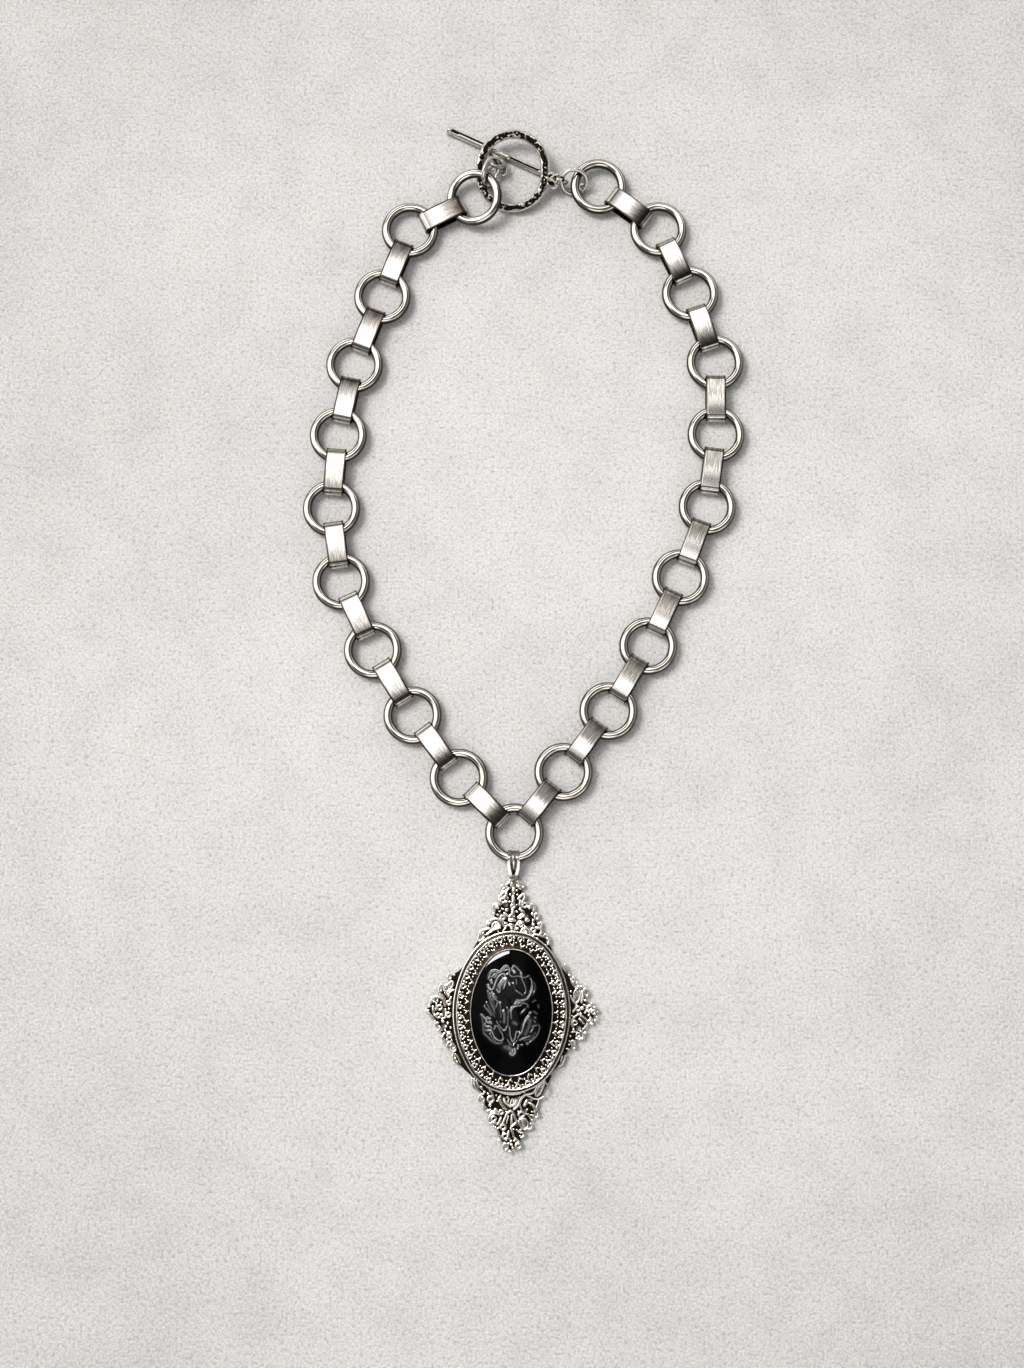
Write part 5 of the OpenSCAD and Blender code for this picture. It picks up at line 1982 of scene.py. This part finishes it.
@dataclass
class CameoStone(Pendant):
    """Domed oval of black glass with its carved flower.

    Attributes:
        seat: height of its flat back.
        girdle: height of its upright edge.
        dome: rise above the girdle.
        across: mesh columns.
        along: mesh rows.
    """

    seat: float = 2.1
    girdle: float = 1.1
    dome: float = 2.6
    across: int = 190
    along: int = 270

    def ridges(self) -> list[Ridge]:
        """Carved ridges: height, half width, frosting with its painted highlight, and points from the stone's
        middle.
        """
        return self.bloom() + self.feathers() + self.left_leaf() + self.calyx() + self.right_leaf()

    def bloom(self) -> list[Ridge]:
        """Petals and the lip that curls under them."""
        return [
            (0.34, 0.22, 0.8, [(-5.6, 6.0), (-5.25, 5.45), (-4.75, 5.2), (-4.25, 5.6), (-4.0, 6.3),
                               (-3.75, 7.1), (-3.4, 7.9), (-2.9, 8.55), (-2.3, 8.9), (-1.85, 8.9),
                               (-1.6, 8.5)]),
            (0.34, 0.2, 0.6, [(-5.5, 7.8), (-5.2, 8.5), (-4.8, 9.1), (-4.2, 9.4), (-3.6, 9.4), (-3.2, 9.2),
                              (-2.7, 9.3), (-2.2, 9.8), (-1.7, 10.3), (-1.1, 10.45), (-0.7, 10.2),
                              (-0.55, 9.7)]),
            (0.28, 0.17, 0.42, [(-0.55, 9.7), (-0.7, 9.2), (-0.5, 8.7), (-0.1, 8.35), (0.4, 8.3),
                                (0.9, 8.4), (1.6, 8.4), (2.2, 8.3)]),
            (0.26, 0.16, 0.38, [(-5.5, 7.8), (-5.2, 7.4), (-4.9, 7.0), (-4.8, 6.5)]),
            (0.2, 0.16, 0.34, [(-5.2, 8.1), (-4.6, 8.2), (-4.0, 8.6), (-3.5, 9.1)]),
            (0.26, 0.16, 0.62, [(0.15, 10.0), (0.5, 9.75), (0.8, 9.2)]),
            (0.3, 0.17, 0.48, [(0.35, 10.5), (0.7, 10.65), (1.1, 10.4), (1.6, 9.9), (2.1, 9.4), (2.3, 8.8),
                               (2.2, 8.3)]),
            (0.28, 0.18, 0.38, [(2.2, 8.3), (2.8, 8.15), (3.2, 8.15), (3.7, 8.45), (4.0, 8.5)]),
            (0.3, 0.17, 0.45, [(4.4, 7.9), (4.6, 7.4), (4.7, 6.8), (4.75, 6.2)]),
            (0.4, 0.2, 0.82, [(4.75, 6.2), (4.78, 5.5), (4.6, 4.9), (4.3, 4.2), (4.0, 3.7), (3.7, 3.3)]),
            (0.2, 0.22, 0.13, [(4.8, 7.2), (5.25, 6.8), (5.5, 6.0), (5.4, 5.0), (5.0, 4.2)]),
            (0.38, 0.24, 0.62, [(3.7, 3.25), (3.0, 3.0), (2.2, 2.9), (1.6, 2.75), (1.1, 2.4), (0.7, 1.9)]),
            (0.24, 0.2, 0.26, [(2.9, 2.65), (2.1, 2.4), (1.4, 2.0)]),
            (0.3, 0.18, 0.5, [(2.1, 1.65), (1.6, 1.62), (1.2, 1.55)]),
            (0.34, 0.19, 0.85, [(1.2, 1.55), (0.7, 1.4), (0.3, 1.1), (0.0, 0.7), (-0.15, 0.2)]),
            (0.24, 0.17, 0.4, [(-0.15, 0.2), (-0.08, -0.5), (0.0, -1.3)]),
            (0.22, 0.18, 0.34, [(2.2, 2.0), (2.9, 2.2), (3.5, 2.0), (3.8, 1.7), (3.8, 1.3)]),
            (0.16, 0.24, 0.2, [(2.2, -0.2), (2.8, 0.4), (3.2, 0.9)]),
            (0.24, 0.17, 0.34, [(2.3, 8.0), (2.6, 7.3), (2.95, 6.5), (3.2, 5.7), (3.3, 4.9), (3.1, 4.3)]),
            (0.22, 0.18, 0.34, [(1.1, 5.0), (1.7, 4.6), (2.3, 4.25), (2.6, 4.0)]),
            (0.18, 0.17, 0.26, [(1.0, 7.6), (1.1, 7.1), (1.05, 6.6)]),
            (0.14, 0.16, 0.12, [(0.3, 6.8), (0.6, 5.8), (1.1, 5.0)]),
            (0.22, 0.5, 0.24, [(-1.3, 7.7), (-2.2, 6.8), (-2.9, 5.6)]),
            (0.22, 0.34, 0.28, [(-1.2, 7.6), (-1.6, 6.6), (-1.85, 5.8)]),
            (0.24, 0.2, 0.5, [(-3.5, 5.2), (-2.95, 4.6), (-2.7, 5.4)]),
            (0.22, 0.17, 0.4, [(-1.95, 5.5), (-1.6, 6.2), (-1.45, 7.0)]),
            (0.2, 0.16, 0.36, [(-3.1, 5.9), (-2.6, 6.8), (-2.0, 7.6)]),
            (0.3, 0.17, 1.0, [(-0.7, 6.95), (-0.45, 6.3)]),
            (0.1, 0.2, 0.16, [(4.9, 2.5), (5.4, 2.9), (5.6, 2.8)]),
            (0.1, 0.2, 0.16, [(6.2, 1.8), (6.35, 1.2)]),
        ]

    def feathers(self) -> list[Ridge]:
        """Fine strokes of the tall leaf on the left, and the stem."""
        return [
            (0.2, 0.18, 0.3, [(-4.75, 4.6), (-4.4, 3.95), (-4.0, 3.55), (-3.5, 3.3)]),
            (0.22, 0.18, 0.4, [(-4.6, 3.9), (-4.1, 3.15), (-3.5, 2.8), (-3.25, 2.5), (-3.4, 1.9),
                               (-3.6, 1.3)]),
            (0.2, 0.2, 0.16, [(-5.6, 4.6), (-5.3, 3.2), (-4.8, 1.8), (-4.2, 0.6), (-3.8, -0.2)]),
            (0.2, 0.2, 0.18, [(-5.1, 4.2), (-4.8, 2.8), (-4.4, 1.6), (-4.0, 0.5)]),
            (0.18, 0.18, 0.16, [(-4.4, 2.9), (-4.1, 1.8), (-3.85, 0.8)]),
            (0.22, 0.22, 0.28, [(-6.3, 1.3), (-5.9, 0.8), (-5.2, 0.1), (-4.7, -0.7)]),
            (0.18, 0.2, 0.16, [(-5.9, 2.2), (-5.2, 1.0), (-4.5, -0.1), (-3.9, -1.0)]),
            (0.24, 0.34, 0.13, [(-2.6, 2.0), (-2.5, 0.5), (-2.4, -1.0)]),
            (0.24, 0.5, 0.2, [(-1.8, 0.2), (-1.6, -1.0), (-1.7, -2.2)]),
            (0.22, 0.18, 0.26, [(-0.95, 1.0), (-0.75, 0.2), (-0.8, -1.5), (-0.85, -3.0)]),
            (0.2, 0.55, 0.2, [(0.5, -2.2), (1.2, -2.6)]),
        ]

    def left_leaf(self) -> list[Ridge]:
        """The notched leaf at the lower left and the bud's point beside it."""
        return [
            (0.3, 0.19, 0.6, [(-7.1, -0.6), (-6.6, -1.0), (-6.1, -1.4), (-5.8, -1.95)]),
            (0.3, 0.2, 0.6, [(-5.7, -1.4), (-5.3, -1.45), (-4.9, -1.6)]),
            (0.3, 0.18, 0.6, [(-5.9, -2.2), (-5.4, -2.4), (-4.65, -2.55)]),
            (0.3, 0.19, 0.55, [(-6.2, -2.8), (-6.0, -3.2), (-5.4, -3.3), (-4.9, -3.3), (-4.6, -3.6)]),
            (0.34, 0.2, 0.62, [(-6.0, -4.1), (-5.5, -4.2), (-4.9, -4.2), (-4.5, -4.4), (-4.2, -5.0),
                               (-3.9, -5.6), (-3.3, -6.2), (-2.7, -6.45), (-2.1, -6.4), (-1.8, -6.0)]),
            (0.22, 0.34, 0.13, [(-6.8, -1.2), (-6.6, -2.6), (-6.5, -4.0), (-6.3, -4.9)]),
            (0.24, 0.34, 0.2, [(-6.3, -4.9), (-5.5, -5.6), (-4.8, -6.3), (-3.8, -6.9), (-2.9, -7.1),
                               (-2.1, -6.9)]),
            (0.2, 0.3, 0.16, [(-4.9, -5.0), (-4.4, -5.8), (-3.6, -6.5)]),
            (0.28, 0.17, 0.5, [(-4.0, -3.85), (-3.7, -3.3), (-3.3, -3.1), (-3.0, -3.3)]),
            (0.26, 0.16, 0.4, [(-3.0, -3.3), (-2.6, -4.1), (-2.1, -4.9), (-1.8, -5.7)]),
            (0.26, 0.16, 0.38, [(-3.4, -2.0), (-3.15, -2.6), (-2.7, -3.1), (-2.3, -3.6), (-1.8, -4.05)]),
            (0.28, 0.19, 0.6, [(-1.8, -4.05), (-1.5, -4.05), (-1.2, -3.6), (-1.05, -3.25)]),
            (0.2, 0.17, 0.3, [(-2.6, -2.0), (-2.5, -2.25)]),
        ]

    def calyx(self) -> list[Ridge]:
        """Points of the calyx, the drops below it and the bright foot."""
        return [
            (0.3, 0.18, 0.45, [(-0.4, -3.3), (-0.28, -4.2), (-0.2, -5.2), (0.1, -6.2)]),
            (0.3, 0.18, 0.66, [(0.1, -6.2), (0.4, -6.7), (0.7, -6.3), (1.0, -5.6), (1.1, -4.8),
                               (1.3, -4.35)]),
            (0.26, 0.18, 0.45, [(1.3, -4.35), (1.7, -4.4), (2.0, -4.8), (1.75, -5.3), (1.6, -5.8)]),
            (0.24, 0.18, 0.3, [(-0.9, -6.1), (-0.4, -6.9), (0.2, -7.5)]),
            (0.24, 0.18, 0.3, [(1.4, -6.3), (0.9, -7.0), (0.5, -7.6)]),
            (0.26, 0.2, 0.8, [(3.7, -7.0), (3.85, -7.2)]),
            (0.26, 0.19, 0.75, [(2.45, -7.4), (2.55, -7.4)]),
            (0.28, 0.2, 0.8, [(1.7, -7.6), (1.5, -8.3)]),
            (0.36, 0.24, 1.0, [(0.85, -8.3), (1.0, -8.8), (0.85, -9.4), (0.45, -9.75), (0.05, -9.6),
                               (-0.2, -9.3)]),
            (0.3, 0.42, 0.45, [(0.4, -8.6), (0.35, -9.2)]),
            (0.16, 0.7, 0.17, [(-1.4, -7.9), (-0.7, -8.2), (0.0, -8.7)]),
            (0.16, 0.45, 0.22, [(-0.6, -7.7), (0.0, -8.3)]),
        ]

    def right_leaf(self) -> list[Ridge]:
        """The notched leaf at the lower right."""
        return [
            (0.42, 0.24, 0.8, [(4.1, -0.75), (3.5, -1.5), (3.0, -2.3), (2.75, -3.2)]),
            (0.36, 0.22, 0.55, [(2.75, -3.2), (2.5, -4.2), (2.2, -4.8)]),
            (0.34, 0.18, 0.6, [(2.0, -6.3), (2.8, -5.95), (3.6, -5.6), (4.4, -5.3)]),
            (0.2, 0.2, 0.22, [(5.3, 0.3), (5.9, -0.2)]),
            (0.24, 0.2, 0.2, [(4.2, -0.3), (4.8, 0.2)]),
            (0.26, 0.19, 0.34, [(5.5, -1.0), (5.7, -1.2)]),
            (0.26, 0.18, 0.36, [(5.3, -1.75), (5.6, -2.2)]),
            (0.26, 0.18, 0.45, [(4.9, -3.05), (5.4, -2.9), (5.85, -2.9)]),
            (0.26, 0.18, 0.45, [(5.1, -3.2), (5.0, -3.8), (4.5, -4.45)]),
            (0.24, 0.2, 0.22, [(6.2, -2.6), (6.6, -3.2), (6.5, -4.0), (6.0, -5.2), (5.3, -6.0),
                               (4.5, -6.7), (3.9, -7.0)]),
            (0.22, 0.7, 0.13, [(4.4, -1.8), (4.1, -3.4), (3.3, -4.9)]),
            (0.22, 0.45, 0.12, [(3.2, -6.3), (4.6, -5.9), (5.6, -4.6)]),
        ]

    def masses(self) -> list[Point]:
        """Low swellings under the ridges: x, y, heading, half length, half width, height."""
        return [
            (-0.4, 6.4, 10, 5.0, 3.8, 0.42), (-2.8, 1.6, 100, 4.2, 2.9, 0.26),
            (-4.6, -4.2, 118, 3.4, 2.0, 0.34), (4.0, -3.6, 60, 3.6, 2.0, 0.36),
            (0.0, -2.6, 90, 4.6, 2.0, 0.3), (2.4, 3.6, 40, 3.2, 2.2, 0.26), (0.0, -8.2, 90, 2.0, 1.1, 0.22),
        ]

    def apart(self, points: Array, line: Array) -> Array:
        """Distance of each of some points from a line of short pieces.

        Args:
            points: rows of x and y.
            line: rows of x and y.

        Returns:
            One distance for each point.
        """
        best = np.full(len(points), np.inf)
        for a, b in zip(line[:-1], line[1:]):
            t = np.clip(((points - a) @ (b - a)) / max(1e-9, (b - a) @ (b - a)), 0, 1)
            best = np.minimum(best, np.linalg.norm(points - a - t[:, None] * (b - a), axis=1))
        return best

    def heights(self, flat: Array) -> tuple[Array, Array]:
        """Height of the carving, and frosting with its painted highlight, at points of the stone.

        Args:
            flat: rows of x and y from the stone's middle.

        Returns:
            Heights in millimetres, and frosting with its painted highlight from 0 to 1.
        """
        mass, ridge, frost = np.zeros((3, len(flat)))
        for x, y, heading, long, wide, rise in self.masses():
            aim = np.array(direction(90, heading)[:2])
            share = ((flat - [x, y]) @ aim / long) ** 2 + ((flat - [x, y]) @ [-aim[1], aim[0]] / wide) ** 2
            mass = np.maximum(mass, rise * smoothstep(1.0, 0.35, share))
            frost = np.maximum(frost, 0.014 * smoothstep(1.0, 0.5, share))
        for rise, half, shade, points in self.ridges():
            line = eased(points, 4)
            reach = 3 * half
            box = np.all((flat > line.min(0) - reach) & (flat < line.max(0) + reach), axis=1)
            near = self.apart(flat[box], line) / half
            ridge[box] = np.maximum(ridge[box], rise * np.exp(-(near**2)))
            core, skirt = np.exp(-((near / 0.55) ** 2)), 0.17 * np.exp(-((near / 1.3) ** 2))
            # Frosting, brighter along the ridges as painted highlight.
            frost[box] = np.maximum(frost[box], shade * np.maximum(core, skirt))
        return mass + ridge, np.clip(frost, 0, 1)

    def grid(self) -> Array:
        """Points that fill the outline in rows and columns.

        Returns:
            Rows of x and y from the stone's middle, column after column within each row.
        """
        s, t = np.meshgrid(np.linspace(-1, 1, self.across), np.linspace(-1, 1, self.along))
        disc = np.stack([s * np.sqrt(1 - t * t / 2), t * np.sqrt(1 - s * s / 2)], -1).reshape(-1, 2)
        facing = np.linspace(-math.pi, math.pi, self.outline.fine + 1)
        edge = self.outline.facing(facing)
        polar = np.unwrap(np.arctan2(edge[:, 1], edge[:, 0]))
        ray = np.arctan2(disc[:, 1] * self.outline.length, disc[:, 0] * self.outline.width)
        order = np.argsort(polar)
        face = np.interp(ray, polar[order], facing[order])
        return self.outline.facing(face) * np.linalg.norm(disc, axis=1)[:, None], np.linalg.norm(disc, axis=1)

    def build(self, glass: Finish) -> Piece:
        """Makes the stone.

        Args:
            glass: its material.

        Returns:
            The finished piece.
        """
        flat, share = self.grid()
        rise, frost = self.heights(flat)
        dome = self.dome * (1 - np.clip(share, 0, 1) ** 2)
        top = raised(flat, self.seat + self.girdle + dome + rise)
        index = np.arange(len(top)).reshape(self.along, self.across)
        quads = np.stack([index[:-1, :-1], index[:-1, 1:], index[1:, 1:], index[1:, :-1]], -1)
        rim = np.concatenate([index[0, :-1], index[:-1, -1], index[-1, :0:-1], index[:0:-1, 0]])
        foot = len(top) + np.arange(len(rim))
        walls = np.stack([rim, foot, np.roll(foot, -1), np.roll(rim, -1)], 1)
        back = np.stack([np.roll(foot, -1), foot, np.full(len(foot), foot[-1] + 1)], 1)
        base = raised(top[rim, :2], self.seat)
        work = Work()
        work.add(
            np.vstack([top, base, [0, 0, self.seat]]),
            quads.reshape(-1, 4).tolist() + walls.tolist() + back.tolist(),
        )
        made = work.moved(self.place).build("cameo_carved", 60)
        carry(made.data, "frost", np.append(frost, np.zeros(len(foot) + 1)))
        return dress(made, glass, Slot.STONE, ["cameo_stone"])


@dataclass
class Studio:
    """Camera, floor and light.

    Attributes:
        camera_place: in millimetres.
        camera_tip: how far the camera is tipped towards the clasp, in degrees.
        lens: focal length in millimetres on a sensor 36 mm high.
        floor_size: of the floor, in millimetres.
        floor_thick: its thickness.
        key_place: place of the key light, in metres; it lights the floor and casts the shadows.
        key_size: its width and height, in metres.
        key_power: in watts.
        window_distance: of both windows, in metres.
        stone_window: zenith angle, azimuth, width and height in metres, roll and watts of the window that
            only the stone mirrors.
        glint_window: the same of the one that only the cast work mirrors.
        strength: of the surround.
        tent: zenith angle and brightness of the surround, from overhead down.
        panels: zenith angle, azimuth, half angle, softness and brightness of each soft panel.
    """

    camera_place: Point = (-3.0, -74.47, 453.95)
    camera_tip: float = 7.5
    lens: float = 50.0
    floor_size: float = 1600.0
    floor_thick: float = 20.0
    key_place: Point = (-2.04, 1.425, 3.195)
    key_size: Point = (1.57, 1.57)
    key_power: float = 121.0
    window_distance: float = 2.7
    stone_window: tuple[float, ...] = (48.0, 123.5, 2.0, 1.15, -19.0, 4400.0)
    glint_window: tuple[float, ...] = (67.0, 119.0, 2.1, 1.7, 0.0, 250.0)
    strength: float = 0.7
    tent: tuple[Point, ...] = (
        (0, 0.16), (7, 0.14), (14, 0.14), (50, 0.16), (58, 0.5), (70, 0.5), (76, 0.16), (86, 0.08),
        (90, 0.04),
    )
    panels: tuple[Point, ...] = (
        (17, 96, 8.5, 3, 2.9), (32, 74, 9, 3, 2.6), (2.5, 90, 3.2, 2.0, 2.2), (40, 166, 20, 7, 2.8),
        (74, 170, 20, 8, 1.3), (70, 120, 16, 7, 1.8), (66, 52, 16, 8, 0.6), (84, 90, 24, 8, 0.6),
        (62, 312, 16, 6, 1.0), (7, 135, 5.5, 3, 2.2), (44, 270, 17, 5, 1.7),
    )

    def camera(self) -> None:
        """Sets the camera at the photograph's angle."""
        data = bpy.data.cameras.new("camera")
        data.lens = self.lens
        data.sensor_fit = "VERTICAL"
        data.sensor_height = 36.0
        data.clip_start = 0.01
        made = put("camera", data)
        made.location = [v * MM for v in self.camera_place]
        made.rotation_euler = (math.radians(self.camera_tip), 0, 0)
        bpy.context.scene.camera = made

    def floor(self) -> None:
        """Lays the pale floor."""
        work = Work()
        corners = np.array([(-1, -1), (1, -1), (1, 1), (-1, 1)]) * self.floor_size / 2
        work.sheet(corners, [], -self.floor_thick, 0.0, 0.0)
        made = work.build("floor")
        made.data.materials.append(Plaster().material())

    def softbox(self, name: str, place: Point, size: Point, power: float, roll: float = 0.0) -> Piece:
        """Hangs an area light that faces the necklace.

        Args:
            name: of the light.
            place: in metres.
            size: width and height in metres.
            power: in watts.
            roll: about its own axis, in degrees.

        Returns:
            The light.
        """
        data = bpy.data.lights.new(name, "AREA")
        data.shape = "RECTANGLE"
        data.size, data.size_y = size
        data.energy = power
        data.color = (1.0, 0.985, 0.965)
        made = put(name, data)
        made.location = place
        x, y, z = (-float(v) for v in unit(np.array(place)))
        aim = Euler((math.acos(-z), 0.0, math.atan2(y, x) - math.pi / 2))
        made.rotation_euler = (aim.to_matrix() @ Matrix.Rotation(math.radians(roll), 3, "Z")).to_euler()
        return made

    def sky(self) -> None:
        """Surround of a tent: dark overhead, a band low down, and soft panels as lobes."""
        world = bpy.data.worlds.new("studio")
        world.use_nodes = True
        wiring = Wiring(world.node_tree)
        where = wiring.node("ShaderNodeTexCoord").outputs["Generated"]
        height = wiring.node("ShaderNodeSeparateXYZ", {0: where}).outputs["Z"]
        ramp = wiring.node("ShaderNodeValToRGB", {"Fac": height})
        ramp.color_ramp.interpolation = "EASE"
        stops = [(math.cos(math.radians(a)), level) for a, level in self.tent][::-1]
        elements = ramp.color_ramp.elements
        elements[0].position, elements[1].position = stops[0][0], stops[-1][0]
        for place, _ in stops[1:-1]:
            elements.new(place)
        for element, (_, level) in zip(elements, stops):
            element.color = (1.08 * level, level, 0.9 * level, 1)
        total = ramp.outputs["Color"]
        for tilt, azimuth, reach, soft, level in self.panels:
            inputs = {0: where, 1: direction(tilt, azimuth)}
            facing = wiring.node("ShaderNodeVectorMath", inputs, operation="DOT_PRODUCT").outputs["Value"]
            ends = [math.cos(math.radians(angle)) for angle in (reach + soft, reach - soft)]
            total = wiring.maths("ADD", total, wiring.spread(facing, ends, (0.0, level), "SMOOTHSTEP"))
        wiring.feed(world.node_tree.nodes["Background"], {"Color": total, "Strength": self.strength})
        bpy.context.scene.world = world

    def build(self) -> None:
        """Builds the studio."""
        self.camera()
        self.floor()
        self.sky()
        self.softbox("key", self.key_place, self.key_size, self.key_power).visible_glossy = False
        bpy.context.scene.view_settings.view_transform = "Standard"

    def windows(self, stone: Piece, cast: Sequence[Piece]) -> None:
        """Hangs two windows that only mirror, one in the stone and one in the cast work.

        Args:
            stone: the carved stone.
            cast: the pieces that glint.
        """
        hung = (("stone_window", self.stone_window, [stone]), ("glint", self.glint_window, cast))
        for name, (zenith, azimuth, wide, high, roll, power), pieces in hung:
            place = self.window_distance * np.array(direction(zenith, azimuth))
            light = self.softbox(name, place, (wide, high), power, roll)
            light.visible_diffuse = False
            lit = bpy.data.collections.new(name + "_lit")
            for piece in pieces:
                lit.objects.link(piece)
            light.light_linking.receiver_collection = lit


def main() -> None:
    """Builds the studio and every piece."""
    logging.basicConfig(level=logging.INFO, format="%(name)s: %(message)s")
    studio = Studio()
    studio.build()
    antique = AntiquePlate().material()
    cast = AntiquePlate(name="cast_clasp", bright=(0.80, 0.75, 0.69), grain=0.6, marks=1300, edge=0.1)
    chain = Chain()
    chain.rings(PolishedPlate().material())
    chain.strips(BrushedPlate().material())
    clasp = Clasp()
    clasp.ring(cast.material())
    clasp.bar(antique)
    clasp.left_link(antique)
    clasp.right_link(antique)
    Bail().build(antique)
    openwork = Openwork().build(antique)
    setting = Setting().build(antique)
    stone = CameoStone().build(CarvedGlass().material())
    studio.windows(stone, openwork + setting)


if __name__ == "__main__":
    main()
